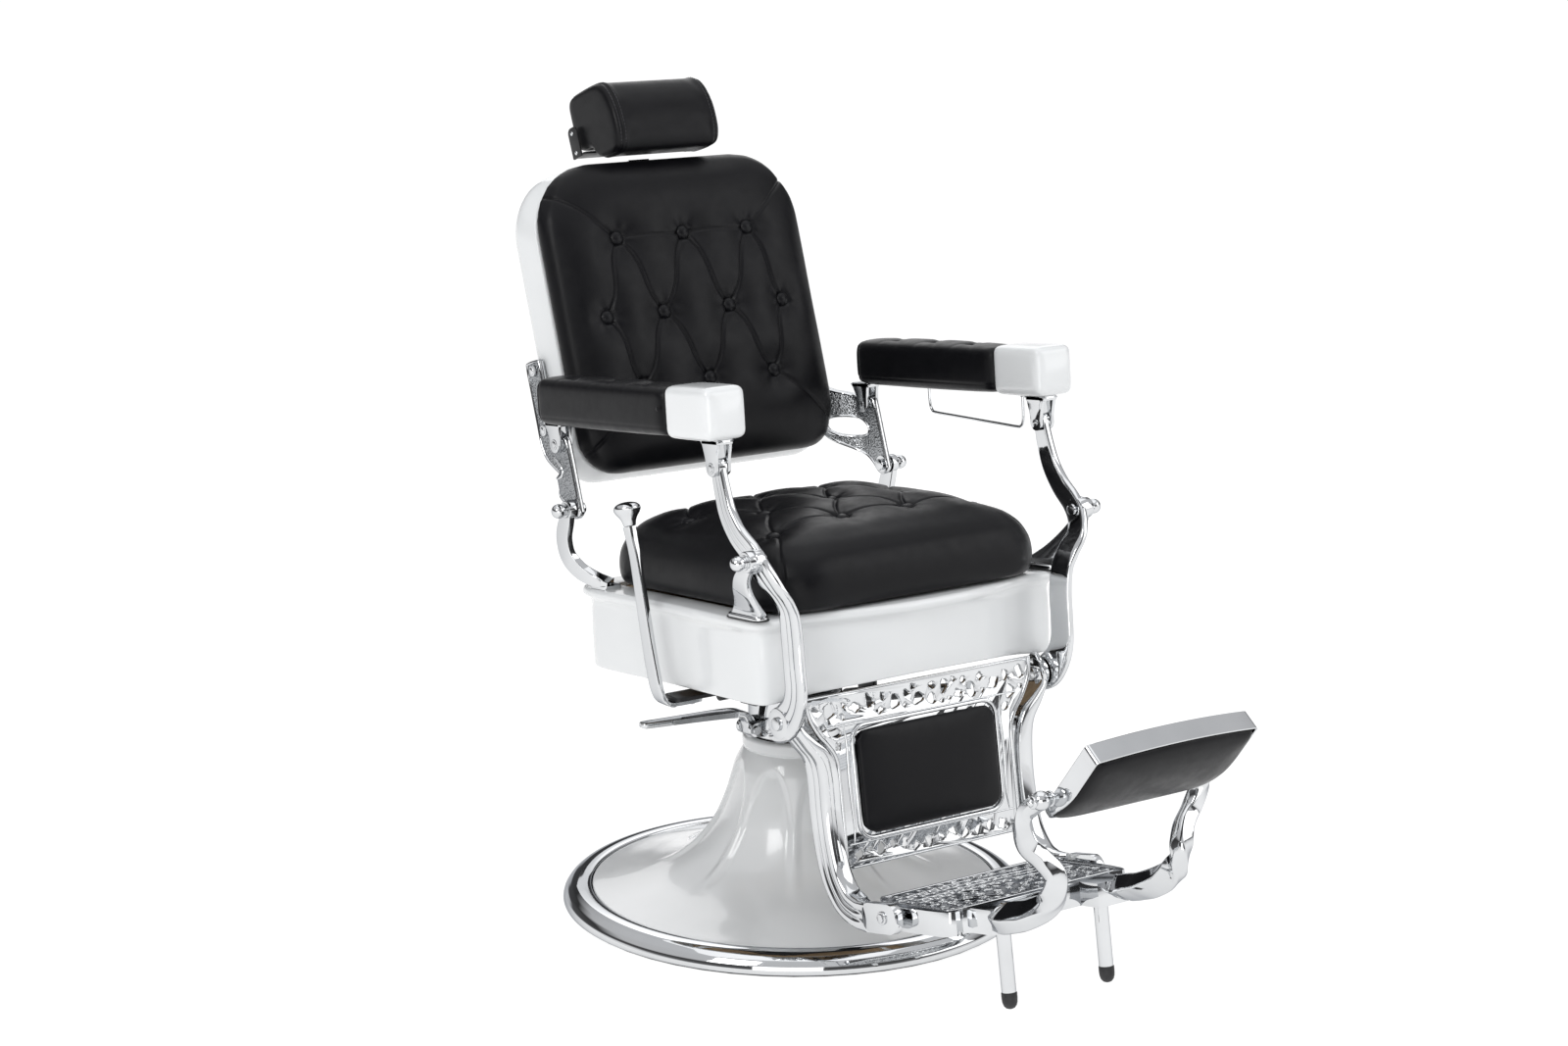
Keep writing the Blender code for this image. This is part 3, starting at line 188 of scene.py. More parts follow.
CHROME = make_chrome("polished_chrome")
CAST_CHROME = make_chrome("cast_chrome", 0.05, 0.13, 0.20)
# Darker, rougher chrome for the tread plate's upward faces.
TREAD_TOP = make_chrome("darker_tread_top_chrome", 0.12, 0.24, 0.25, 0.26)
SATIN = make_chrome("satin_chrome", 0.16, 0.28, 0.10)
STEEL = make_chrome("ground_steel", 0.18, 0.32, 0.05)
HAMMERED = make_chrome("hammered_chrome", 0.14, 0.26, 0.2, 0.36)
bump(HAMMERED, [(cells(HAMMERED, 330), 0.8, 0.0012), (noise(HAMMERED, 500, 3.0), 0.3, 0.0004)])
ENAMEL = dressed(
    shader("white_enamel", (0.745, 0.76, 0.765), 0.16, Coat_Weight=0.5, Coat_Roughness=0.03),
    (5, 3.0, (0.73, 0.745, 0.751), (0.76, 0.773, 0.778)), (30, 4.0, 0.12, 0.22),
    ((45, 2.0, 0.06, 0.0006), (500, 1.0, 0.03, 0.0001)))
LEATHER = make_leather("black_leatherette")
BUTTON = make_leather("button_leatherette", (0.0042, 0.0042, 0.0054), (0.26, 0.36))
THREAD = dressed(shader("black_thread", (0.035, 0.035, 0.040), 0.6, Sheen_Weight=0.2),
                 bumps=((1800, 2.0, 0.5, 0.0002),))
RUBBER = dressed(shader("black_rubber", (0.016, 0.016, 0.017), 0.6),
                 (40, 4.0, (0.013, 0.013, 0.014), (0.028, 0.028, 0.029)), (90, 4.0, 0.5, 0.75),
                 ((900, 3.0, 0.25, 0.0002),))
DARK = dressed(shader("black_painted_steel", (0.012, 0.012, 0.013), 0.38, Specular_IOR_Level=0.35),
               (20, 5.0, (0.009, 0.009, 0.010), (0.020, 0.020, 0.021)), (50, 4.0, 0.28, 0.5),
               ((420, 3.0, 0.25, 0.0002),))
IRON = dressed(shader("raw_casting", (0.06, 0.06, 0.062), 0.65, 0.6),
               (35, 5.0, (0.035, 0.034, 0.034), (0.10, 0.098, 0.095)),
               bumps=((260, 4.0, 0.7, 0.0006),))
BRONZE = dressed(shader("bronze_bush", (0.50, 0.33, 0.14), 0.35, 1.0),
                 (60, 4.0, (0.42, 0.26, 0.10), (0.58, 0.39, 0.18)), (120, 4.0, 0.28, 0.5))
PLYWOOD = dressed(shader("plywood", (0.42, 0.29, 0.17), 0.7), roughs=(60, 4.0, 0.6, 0.8))
tint(PLYWOOD, noise(PLYWOOD, 18, 6.0, 0.6, (1, 9, 1)), (0.34, 0.22, 0.12), (0.50, 0.36, 0.22))
bump(PLYWOOD, [(noise(PLYWOOD, 90, 5.0, 0.6, (1, 12, 1)), 0.4, 0.0004)])


# ---- mesh helpers --------------------------------------------------------------------------
def catmull(points, steps, closed=False):
    """Smooth tuples between the given stations."""
    count = len(points)
    result = []
    for span in range(count if closed else count - 1):
        if closed:
            p0, p1, p2, p3 = [points[(span + k) % count] for k in (-1, 0, 1, 2)]
        else:
            p1, p2 = points[span], points[span + 1]
            p0, p3 = points[max(span - 1, 0)], points[min(span + 2, count - 1)]
        for step in range(steps):
            t = step / steps
            result.append(tuple(0.5 * (2 * b + (c - a) * t + (2 * a - 5 * b + 4 * c - d) * t * t
                                       + (3 * b - a - 3 * c + d) * t ** 3)
                                for a, b, c, d in zip(p0, p1, p2, p3)))
    if not closed:
        result.append(tuple(points[-1]))
    return result


def smoothstep(value, low, high):
    t = min(max((value - low) / (high - low), 0.0), 1.0)
    return t * t * (3 - 2 * t)


def loft(rings, bm=None, loop=False, caps=True):
    bm = bm or bmesh.new()
    rows = [[bm.verts.new(p) for p in ring] for ring in rings]
    count = len(rows[0])
    pairs = list(zip(rows, rows[1:])) + ([(rows[-1], rows[0])] if loop else [])
    for low, high in pairs:
        for i in range(count):
            j = (i + 1) % count
            bm.faces.new((low[i], low[j], high[j], high[i]))
    if caps and not loop:
        bm.faces.new(rows[0])
        bm.faces.new(rows[-1])
    return bm


def link(name, data):
    obj = bpy.data.objects.new(name, data)
    bpy.context.scene.collection.objects.link(obj)
    return obj


def to_mesh(bm, name):
    """Turn a bmesh into a mesh and free it."""
    mesh = bpy.data.meshes.new(name)
    bm.to_mesh(mesh)
    bm.free()
    return mesh


def to_object(bm, name):
    """Turn a bmesh into an object whose faces all look outward."""
    bmesh.ops.recalc_face_normals(bm, faces=bm.faces)
    return link(name, to_mesh(bm, name))


def add_bevel(obj, width, segments, angle=30):
    modifier = obj.modifiers.new("bevel", "BEVEL")
    modifier.width = width
    modifier.segments = segments
    modifier.limit_method = "ANGLE"
    modifier.angle_limit = math.radians(angle)


def add_subdivision(obj, levels):
    modifier = obj.modifiers.new("subdivide", "SUBSURF")
    modifier.levels = levels
    modifier.render_levels = levels


def piece(name, bm, material, body, replaces=(), place=WORLD, smooth=35.0, levels=0,
          bevel=0.0, segments=3):
    """Finish a bmesh as a named piece that rides on a body."""
    obj = to_object(bm, name)
    obj.data.transform(place)
    obj.data.materials.append(material)
    if bevel:
        add_bevel(obj, bevel, segments, 35)
    if levels:
        add_subdivision(obj, levels)
    if bevel or levels:
        bake(obj)
    reshade(obj, smooth)
    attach(obj, body)
    if replaces:
        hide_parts(*replaces)
    return obj


def bake(obj):
    """Apply all modifiers."""
    bpy.context.view_layer.update()
    graph = bpy.context.evaluated_depsgraph_get()
    mesh = bpy.data.meshes.new_from_object(obj.evaluated_get(graph))
    obj.modifiers.clear()
    old = obj.data
    mesh.name = old.name
    obj.data = mesh
    bpy.data.meshes.remove(old)
    return obj


def join(target, *others):
    """Add other meshes' faces to the first bmesh."""
    for other in others:
        mesh = to_mesh(other, "part")
        target.from_mesh(mesh)
        bpy.data.meshes.remove(mesh)
    return target


def along(axis_end, axis_start=(0, 0, 0)):
    """Matrix that carries +Z on to the line from start to end, placed at start."""
    start, end = Vector(axis_start), Vector(axis_end)
    turn = (end - start).to_track_quat("Z", "Y").to_matrix().to_4x4()
    return Matrix.Translation(start) @ turn


def turns(count):
    """Angles that divide a full turn into equal steps."""
    return [2 * math.pi * k / count for k in range(count)]


def turned(points, angle, x=0.0, y=0.0):
    """Rotate (a, b) points about the origin, then move them by x and y."""
    c, s = math.cos(angle), math.sin(angle)
    return [(x + a * c - b * s, y + a * s + b * c) for a, b in points]


def ellipse(half_long, half_short, count):
    return [(half_long * math.cos(a), half_short * math.sin(a)) for a in turns(count)]


def mirrored(rows, sign):
    """Rows of (x, ...) numbers with x on the side of sign."""
    return [(sign * row[0], *row[1:]) for row in rows]


def corner_arcs(steps):
    """(side a, side b, cosine, sine) at each step round a box's four corners."""
    for a, b, start in ((1, 1, 0), (-1, 1, 90), (-1, -1, 180), (1, -1, 270)):
        for k in range(steps + 1):
            angle = math.radians(start + 90 * k / steps)
            yield a, b, math.cos(angle), math.sin(angle)


def lathe(profile, segments=64, matrix=WORLD, loop=False):
    """Sweep (radius, height) points about Z; ends on the axis are closed to a point."""
    rings = []
    for radius, height in profile:
        radius = max(radius, 0.00005)
        rings.append([matrix @ Vector((radius * math.cos(a), radius * math.sin(a), height))
                      for a in turns(segments)])
    return loft(rings, loop=loop)


def rounded(points, radius, steps=4):
    """Round the inner corners of an open profile of (a, b) points."""
    result = [points[0]]
    for before, corner, after in zip(points, points[1:], points[2:]):
        c, p, n = Vector(corner), Vector(before), Vector(after)
        r = min(radius, (p - c).length * 0.45, (n - c).length * 0.45)
        start, end = c + (p - c).normalized() * r, c + (n - c).normalized() * r
        for k in range(steps + 1):
            t = k / steps
            result.append(tuple((1 - t) ** 2 * start + 2 * t * (1 - t) * c + t * t * end))
    result.append(points[-1])
    return result


def rounded_rect(half_a, low, high, low_radius, high_radius, steps=8, edge=1):
    """Corner-rounded rectangle as (a, b) points, counter-clockwise."""
    arcs = []
    for a, b, radius, start in ((half_a, high, high_radius, 0), (-half_a, high, high_radius, 90),
                                (-half_a, low, low_radius, 180), (half_a, low, low_radius, 270)):
        middle_a = a - math.copysign(radius, a)
        middle_b = b - radius if b == high else b + radius
        arcs.append([(middle_a + radius * math.cos(math.radians(start + 90 * k / steps)),
                      middle_b + radius * math.sin(math.radians(start + 90 * k / steps)))
                     for k in range(steps + 1)])
    points = []
    for arc, following in zip(arcs, arcs[1:] + arcs[:1]):
        points.extend(arc)
        for k in range(1, edge):
            t = k / edge
            points.append((arc[-1][0] * (1 - t) + following[0][0] * t,
                           arc[-1][1] * (1 - t) + following[0][1] * t))
    return points


def inset(points, distance):
    result = []
    count = len(points)
    for i, point in enumerate(points):
        before = Vector(point) - Vector(points[i - 1])
        after = Vector(points[(i + 1) % count]) - Vector(point)
        n1 = Vector((-before.y, before.x)).normalized()
        n2 = Vector((-after.y, after.x)).normalized()
        middle = (n1 + n2).normalized()
        reach = distance / max(middle.dot(n1), 0.4)
        result.append((point[0] + middle.x * reach, point[1] + middle.y * reach))
    return result


def relaxed_inset(points, distance):
    steps = max(1, math.ceil(abs(distance) / 0.004))
    for _ in range(steps):
        points = inset(points, distance / steps)
        points = [tuple(0.8 * p + 0.1 * (a + b) for p, a, b in zip(point, behind, ahead))
                  for point, behind, ahead in zip(points, points[-1:] + points[:-1],
                                                  points[1:] + points[:1])]
    return points


def sweep(stations, section, toward, steps=6):
    """Sweep a section along (x, y, z, thickness, width) stations.

    section(t) gives (a, b) points from -1 to 1: a along toward, b across it.
    """
    path = catmull(stations, steps)
    centres = [Vector(p[:3]) for p in path]
    rings = []
    for i, point in enumerate(path):
        tangent = (centres[min(i + 1, len(path) - 1)] - centres[max(i - 1, 0)]).normalized()
        side = (toward - toward.dot(tangent) * tangent).normalized()
        across = tangent.cross(side)
        rings.append([centres[i] + side * (a * point[3] / 2) + across * (b * point[4] / 2)
                      for a, b in section(i / (len(path) - 1))])
    return loft(rings)


def oblong(corner=0.45, steps=4):
    """A plain bar section with rounded corners, wider than thick."""
    return [(a * (1 - corner) + corner * c, b * (1 - corner * 0.4) + corner * 0.4 * s)
            for a, b, c, s in corner_arcs(steps)]


def fluted(depth_at, count=2, pitch=0.52):
    """A bar section whose outer face carries lengthwise grooves of depth_at(t)."""
    def section(t):
        depth = depth_at(t)
        points = []
        for k in range(25):
            b = -0.90 + 1.80 * k / 24
            groove = sum(math.exp(-((b - pitch * (j - (count - 1) / 2)) / 0.12) ** 2)
                         for j in range(count))
            edge = 1 - 0.45 * max(0.0, (abs(b) - 0.72) / 0.18) ** 2 * 0.6
            points.append((edge - depth * groove, b))
        points += [(0.45, 0.985), (0.1, 1.0), (-0.6, 1.0), (-0.86, 0.95), (-0.97, 0.86)]
        points += [(-1.0, 0.6), (-1.0, 0.0), (-1.0, -0.6)]
        points += [(-0.97, -0.86), (-0.86, -0.95), (-0.6, -1.0), (0.1, -1.0), (0.45, -0.985)]
        return points
    return section


def tube(points, radius, steps=6, sides=20, closed=False):
    """A round tube; radius is a number or a function of the way along, 0 to 1."""
    path = [Vector(p) for p in catmull(points, steps, closed)]
    rings = []
    side = Vector((0.9, 0.1, 0.42))
    count = len(path)
    for i, centre in enumerate(path):
        ahead = path[(i + 1) % count] if closed else path[min(i + 1, count - 1)]
        behind = path[i - 1] if closed else path[max(i - 1, 0)]
        tangent = (ahead - behind).normalized()
        side = (side - side.dot(tangent) * tangent).normalized()
        across = tangent.cross(side)
        size = radius(i / (count - 1)) if callable(radius) else radius
        rings.append([centre + size * (math.cos(a) * side + math.sin(a) * across)
                      for a in turns(sides)])
    return loft(rings, loop=closed)


def prism(points, low, high, place):
    """Extrude an outline; place(a, b, depth) gives the position."""
    return loft([[place(a, b, low) for a, b in points], [place(a, b, high) for a, b in points]])


def along_x(a, b, depth):
    return Vector((depth, a, b))


def along_y(a, b, depth):
    return Vector((a, depth, b))


def along_z(a, b, depth):
    return Vector((a, b, depth))


def disc_x(x0, x1, y, z, radius, chamfer=0.001, segments=40, crown=0.0):
    """A bolt head, washer or boss about an axis along X; x1 is the exposed end."""
    length = abs(x1 - x0)
    profile = [(0, 0), (radius, 0), (radius, length - chamfer), (radius - chamfer * 0.3,
               length - chamfer * 0.3), (radius - chamfer, length),
               (radius * 0.5, length + crown * 0.8), (0, length + crown)]
    return lathe(profile, segments, along((x1, y, z), (x0, y, z)))


def dome(centre, direction, radius, height, segments=28, rim=0.0):
    """A domed button or screw head that sits at centre and points along direction."""
    profile = [(0, -height * 0.6), (radius * 0.9, -height * 0.5), (radius, 0)]
    profile += [(radius * math.cos(a), height * math.sin(a))
                for a in (k * math.pi / 16 for k in range(1, 8))]
    profile.append((0, height))
    if rim:
        profile[2:2] = [(radius + rim, -height * 0.3), (radius + rim, -height * 0.05)]
    centre = Vector(centre)
    return lathe(profile, segments, along(centre + Vector(direction), centre))


def cut(obj, cutter_bm):
    """Subtract a bmesh from an object and bake the result."""
    cutter = to_object(cutter_bm, "cutter")
    mesh = cutter.data
    modifier = obj.modifiers.new("cut", "BOOLEAN")
    modifier.operation = "DIFFERENCE"
    modifier.solver = "EXACT"
    modifier.object = cutter
    bake(obj)
    bpy.data.objects.remove(cutter, do_unlink=True)
    bpy.data.meshes.remove(mesh)
    return obj


def reshade(obj, angle=35.0):
    obj.data.shade_smooth()
    obj.data.set_sharp_from_angle(angle=math.radians(angle))


# ---- soft goods ----------------------------------------------------------------------------
CLOTH_FRAMES = 10
CLOTH_QUALITY = 3


def spread_out(mesh, values, passes):
    """Average a value per vertex over its neighbours."""
    ends = np.zeros(len(mesh.edges) * 2, np.int32)
    mesh.edges.foreach_get("vertices", ends)
    a, b = ends.reshape(-1, 2).T
    count = np.maximum(np.bincount(ends, minlength=len(values)), 1)
    for _ in range(passes):
        total = (np.bincount(a, values[b], len(values)) + np.bincount(b, values[a], len(values)))
        values = 0.5 * values + 0.5 * total / count
    return values


def swelling(obj, pressure, frames, pinned):
    """How far cloth under inner pressure moves outward at each vertex of a closed form."""
    before, normals = surface(obj)
    group = obj.vertex_groups.new(name="pin")
    group.add([i for i, p in enumerate(before) if pinned(p)], 1.0, "REPLACE")
    cloth = obj.modifiers.new("cloth", "CLOTH")
    settings = cloth.settings
    settings.use_pressure = True
    settings.uniform_pressure_force = pressure
    settings.effector_weights.gravity = 0.0
    settings.quality = CLOTH_QUALITY
    settings.mass = 0.3
    settings.tension_stiffness = 15
    settings.compression_stiffness = 15
    settings.bending_stiffness = 2.0
    settings.vertex_group_mass = "pin"
    cloth.point_cache.frame_start = 1
    cloth.point_cache.frame_end = frames
    for number in range(1, frames + 1):
        bpy.context.scene.frame_set(number)
    graph = bpy.context.evaluated_depsgraph_get()
    after = coordinates(obj.evaluated_get(graph))
    obj.modifiers.clear()
    bpy.context.scene.frame_set(1)
    return np.maximum(((after - before) * normals).sum(axis=1), 0.0)


def inflate(bm, voxel, cap, facing, pinned, pressure=4.0, frames=CLOTH_FRAMES):
    """Remesh a closed form and let cloth pressure swell it by at most cap metres.

    facing is the axis the cover looks along; pinned(point) says what stays put.
    """
    obj = to_object(bm, "soft")
    remesh = obj.modifiers.new("remesh", "REMESH")
    remesh.mode = "VOXEL"
    remesh.voxel_size = voxel
    smooth = obj.modifiers.new("smooth", "SMOOTH")
    smooth.factor = 0.5
    smooth.iterations = 8
    bake(obj)
    before, normals = surface(obj)
    held = np.array([pinned(p) for p in before])
    out = swelling(obj, pressure, frames, pinned)
    out = spread_out(obj.data, np.where(held, 0.0, out), 10)
    out = cap * (1 - np.exp(-out / cap)) * (0.3 + 0.7 * np.abs(normals[:, facing]))
    points = before + normals * out[:, None]
    points = np.stack([spread_out(obj.data, points[:, k], 3) for k in range(3)], axis=1)
    move_points(obj, points)
    return obj


def coordinates(obj, attribute="co"):
    values = np.zeros(len(obj.data.vertices) * 3, np.float32)
    obj.data.vertices.foreach_get(attribute, values)
    return values.reshape(-1, 3).astype(float)


def surface(obj):
    """The place and the normal of every vertex."""
    return coordinates(obj), coordinates(obj, "normal")


def move_points(obj, points):
    obj.data.vertices.foreach_set("co", points.astype(np.float32).ravel())
    obj.data.update()


def refine(obj, levels=1, near=None):
    """Subdivide smoothly, then once more only where near(points) is true."""
    add_subdivision(obj, levels)
    bake(obj)
    if near is not None:
        bm = bmesh.new()
        bm.from_mesh(obj.data)
        bm.verts.ensure_lookup_table()
        chosen = near(coordinates(obj))
        edges = [e for e in bm.edges if chosen[e.verts[0].index] and chosen[e.verts[1].index]]
        bmesh.ops.subdivide_edges(bm, edges=edges, cuts=1, use_grid_fill=True, smooth=0.0)
        bm.to_mesh(obj.data)
        bm.free()
    return obj


def seam_distance(flat, seam):
    """Distance of 2-D points to a polyline, and the way along it from 0 to 1."""
    best = np.full(len(flat), 1e9)
    way = np.zeros(len(flat))
    total = len(seam) - 1
    for i in range(total):
        a, b = np.array(seam[i]), np.array(seam[i + 1])
        span = b - a
        t = np.clip(((flat - a) @ span) / max(span @ span, 1e-12), 0, 1)
        d = np.linalg.norm(flat - (a + t[:, None] * span), axis=1)
        closer = d < best
        best = np.where(closer, d, best)
        way = np.where(closer, (i + t) / total, way)
    return best, way


def bowed(start, end, bow=0.004, steps=8):
    """A seam between two points that swings a little to either side, as pulled hide does."""
    a, b = Vector(start), Vector(end)
    side = Vector((-(b - a).y, (b - a).x)).normalized()
    return [tuple(a.lerp(b, k / steps) + side * bow * math.sin(2 * math.pi * k / steps))
            for k in range(steps + 1)]


def tuft_depth(flat, buttons, seams, puff, crease, pull, width=0.020):
    """How far the cover is pulled in at 2-D points by buttons and sewn folds."""
    wide = np.ones(len(flat))
    narrow = np.ones(len(flat))
    for seam, strength in seams:
        d, way = seam_distance(flat, seam)
        deep = strength * (0.45 + 0.55 * np.abs(2 * way - 1) ** 1.5)
        wide *= 1 - np.clip(deep, 0, 1) * np.exp(-(d / width) ** 1.3)
        narrow *= 1 - np.clip(0.6 + 0.4 * deep, 0, 1) * np.exp(-(d / 0.0024) ** 2)
    depth = puff * (1 - wide) + crease * (1 - narrow)
    for x, y in buttons:
        dx, dy = flat[:, 0] - x, flat[:, 1] - y
        r = np.hypot(dx, dy)
        angle = np.arctan2(dy, dx)
        depth += pull * np.exp(-(r / 0.0125) ** 4) + pull * 0.6 * np.exp(-(r / 0.030) ** 2)
        fold = np.exp(-((r - 0.018) / 0.010) ** 2)
        depth += 0.0006 * fold * np.cos(6 * angle + 31 * x + 17 * y)
    return depth


def near_seams(plane, seams, buttons, reach=0.010):
    """A chooser for refine(): points close to any seam or button, on the faced side."""
    def chosen(points):
        flat, facing = plane(points)
        close = np.zeros(len(points), bool)
        for seam, _ in seams:
            close |= seam_distance(flat, seam)[0] < reach
        for x, y in buttons:
            close |= np.hypot(flat[:, 0] - x, flat[:, 1] - y) < 0.018
        return close & facing
    return chosen


def surface_point(points, flat, target, faced):
    """The mesh point nearest a 2-D target on the faced side."""
    d = np.hypot(flat[:, 0] - target[0], flat[:, 1] - target[1]) + np.where(faced, 0, 9)
    return points[int(np.argmin(d))]


def finish_soft(obj, name, body, replaces, place, material=LEATHER):
    obj.name = name
    obj.data.name = name
    obj.vertex_groups.clear()
    obj.data.transform(place)
    obj.data.materials.clear()
    obj.data.materials.append(material)
    reshade(obj, 180.0)
    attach(obj, body)
    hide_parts(*replaces)
    return obj


def stitches(path, normal_at, pitch=0.0055, length=0.0038, radius=0.00045):
    """Short thread stitches laid end to end along a path."""
    bm = bmesh.new()
    path = [Vector(p) for p in path]
    carried = pitch / 2
    for a, b in zip(path, path[1:]):
        span = (b - a).length
        while carried < span:
            middle = a.lerp(b, carried / span)
            direction = (b - a).normalized()
            out = normal_at(middle)
            start = middle - direction * length / 2
            end = middle + direction * length / 2
            top = middle + out * radius * 1.2
            join(bm, tube([start, top, end], radius, 2, 6))
            carried += pitch
        carried -= span
    return bm


# ---- base ----------------------------------------------------------------------------------
def build_base():
    ring = rounded([(0.3072, 0.0034), (0.3072, 0.0312), (0.3120, 0.0335), (0.3190, 0.0340),
                    (0.3280, 0.0327), (0.3360, 0.0296), (0.3430, 0.0243), (0.3480, 0.0175),
                    (0.3500, 0.0105), (0.3488, 0.0060), (0.3450, 0.0034)], 0.002, 3)
    piece("ring_chrome", lathe(ring, 192, loop=True), CHROME, "base", ["base_ring"],
          smooth=50)
    build_pedestal()


PROFILE = ((0.0700, 0.2560), (0.0700, 0.2630), (0.0722, 0.2645), (0.0770, 0.2630),
           (0.0793, 0.2600), (0.0795, 0.2560), (0.0793, 0.2480), (0.0780, 0.2455),
           (0.0768, 0.2438), (0.0768, 0.2425), (0.0785, 0.2405), (0.0820, 0.2350),
           (0.0855, 0.2285), (0.0905, 0.2180), (0.0935, 0.2080), (0.0976, 0.1920),
           (0.1015, 0.1780), (0.1060, 0.1650), (0.1120, 0.1500), (0.1190, 0.1350),
           (0.1310, 0.1170), (0.1500, 0.0940), (0.1700, 0.0770), (0.1900, 0.0640),
           (0.2180, 0.0520), (0.2500, 0.0430), (0.2800, 0.0355), (0.2990, 0.0316),
           (0.3045, 0.0303), (0.3052, 0.0285), (0.3050, 0.0240))


LANCETS, LANCET_TURN = 8, 8.6


def build_pedestal():
    """Bell with pressed lancets that open downwards and melt into the disc."""
    outer = catmull(PROFILE, 4)
    inner = [(0.2980, 0.0240), (0.2500, 0.0370), (0.1880, 0.0580), (0.1460, 0.0880),
             (0.1150, 0.1280), (0.0950, 0.1700), (0.0700, 0.2300)]
    segments, spacing = 288, 2 * math.pi / LANCETS
    rings = []
    for radius, height in outer:
        ring = []
        for angle in turns(segments):
            local = ((angle - math.radians(LANCET_TURN)) % spacing) - spacing / 2
            arch = max(0.0, 1 - max(0.0, (height - 0.130) / 0.098) ** 2) ** 0.5
            half = spacing / 2 * 0.94 * arch
            inside = smoothstep(half - abs(local), -0.030, 0.075) if half > 0 else 0.0
            fade = smoothstep(height, 0.044, 0.085) * smoothstep(0.232 - height, 0.0, 0.02)
            press = 0.0062 * inside * fade * (radius / 0.11) ** 0.6
            r = radius - press
            ring.append((r * math.cos(angle), r * math.sin(angle), height))
        rings.append(ring)
    for radius, height in inner:
        rings.append([(radius * math.cos(a), radius * math.sin(a), height)
                      for a in turns(segments)])
    piece("pedestal_bell", loft(rings, loop=True), ENAMEL, "base",
          ["pedestal_shell"], smooth=60)


def build_pump():
    profile = rounded([(0.0320, 0.2645), (0.0690, 0.2645), (0.0705, 0.2665), (0.0705, 0.2760),
                       (0.0690, 0.2775), (0.0690, 0.2785), (0.0705, 0.2800), (0.0705, 0.3320),
                       (0.0670, 0.3360), (0.0320, 0.3360)], 0.0012, 3)
    bm = lathe(profile, 128, loop=True)
    x, z = PUMP_PIVOT
    for low in (-0.0190, 0.0110):
        outline = [(x + 0.011 * math.cos(math.radians(a)), z + 0.011 * math.sin(math.radians(a)))
                   for a in range(90, 271, 12)]
        outline += [(-0.066, z - 0.0130), (-0.066, z + 0.0130)]
        join(bm, prism(outline, low, low + 0.008, along_y))
    piece("pump_tower", bm, CHROME, "swivel", ["pump_housing"], bevel=0.0008)
    bm = lathe([(0, -0.0225), (0.0062, -0.0225), (0.0068, -0.0215), (0.0068, -0.0195),
                (0.0040, -0.0193), (0.0040, 0.0193), (0.0068, 0.0195), (0.0068, 0.0215),
                (0.0062, 0.0225), (0, 0.0225)], 32, along((x, 1, z), (x, 0, z)))
    piece("pump_pin", bm, STEEL, "swivel", ["pump_lever_pin"])
    stations = [(x + 0.0035, 0.0, z - 0.0095, 0.0170, 0.009),
                (x + 0.002, 0.0, z - 0.006, 0.0195, 0.015),
                (x, 0.0, z + 0.003, 0.0195, 0.0155), (x - 0.005, 0.0005, 0.2980, 0.0200, 0.013),
                (-0.101, 0.003, 0.3070, 0.0245, 0.011), (-0.128, 0.006, 0.3095, 0.0280, 0.0095),
                (-0.185, 0.010, 0.3110, 0.0235, 0.0085), (-0.240, 0.0135, 0.3122, 0.0180, 0.0085),
                (-0.262, 0.0147, 0.3128, 0.0150, 0.0085), (-0.2675, 0.015, 0.3130, 0.0080, 0.006)]
    bm = sweep(stations, lambda t: oblong(0.30), Vector((0, 1, 0)), 8)
    piece("pump_blade", bm, CHROME, "pump", ["pump_lever"], smooth=50)


# ---- seat ----------------------------------------------------------------------------------
SEAT_OUTLINE = ((0.0, -0.325), (0.100, -0.316), (0.165, -0.293), (0.205, -0.2815),
                (0.235, -0.284), (0.257, -0.2835), (0.2715, -0.272), (0.2775, -0.250),
                (0.2765, -0.200),
                (0.2740, -0.110), (0.2715, -0.030), (0.2765, 0.050), (0.2775, 0.130),
                (0.2660, 0.176), (0.228, 0.196), (0.120, 0.199))
SKIRT_PROFILE = ((0.0000, -0.0100), (0.0000, -0.0065), (0.0010, -0.0035), (0.0032, -0.0010),
                 (0.0065, 0.0000), (0.0460, 0.0000), (0.0460, -0.0060), (0.0170, -0.0070),
                 (0.0185, -0.0600), (0.0160, -0.1195), (0.0140, -0.1210), (0.0115, -0.1200),
                 (0.0104, -0.1170), (0.0098, -0.0900), (0.0096, -0.0600), (0.0102, -0.0400),
                 (0.0110, -0.0280), (0.0100, -0.0210), (0.0060, -0.0160), (0.0020, -0.0130))


def eased(ring, passes):
    """Round a closed ring's tight corners a little, pass by pass."""
    points = np.array(ring)
    for _ in range(passes):
        points = 0.5 * points + 0.25 * (np.roll(points, 1, 0) + np.roll(points, -1, 0))
    return [tuple(p) for p in points]


def seat_rings(fine=5):
    right = list(SEAT_OUTLINE)
    left = [(-x, y) for x, y in reversed(right[1:])]
    outline = catmull(right + left, 2, closed=True)
    rings = []
    for distance, height in SKIRT_PROFILE:
        ring = []
        for (x, y), (x0, y0) in zip(relaxed_inset(outline, distance), outline):
            front = max(0.0, 1 - (x0 / 0.23) ** 2) if y0 < -0.2 else 0.0
            arch = 0.016 * front * max(0.0, -height - 0.03) / 0.09
            ring.append((x, y, height + arch))
        rings.append(eased(catmull(ring, fine, closed=True), 26))
    return rings


def build_skirt():
    piece("seat_apron", loft(seat_rings(), loop=True), ENAMEL, "seat",
          ["seat_skirt"], place=SEAT_M, smooth=60)


SEAT_BUTTONS = ([(x, -0.200) for x in (-0.18, -0.06, 0.06, 0.18)]
                + [(x, -0.095) for x in (-0.12, 0.0, 0.12)]
                + [(x, 0.010) for x in (-0.18, -0.06, 0.06, 0.18)]
                + [(x, 0.105) for x in (-0.12, 0.0, 0.12)])


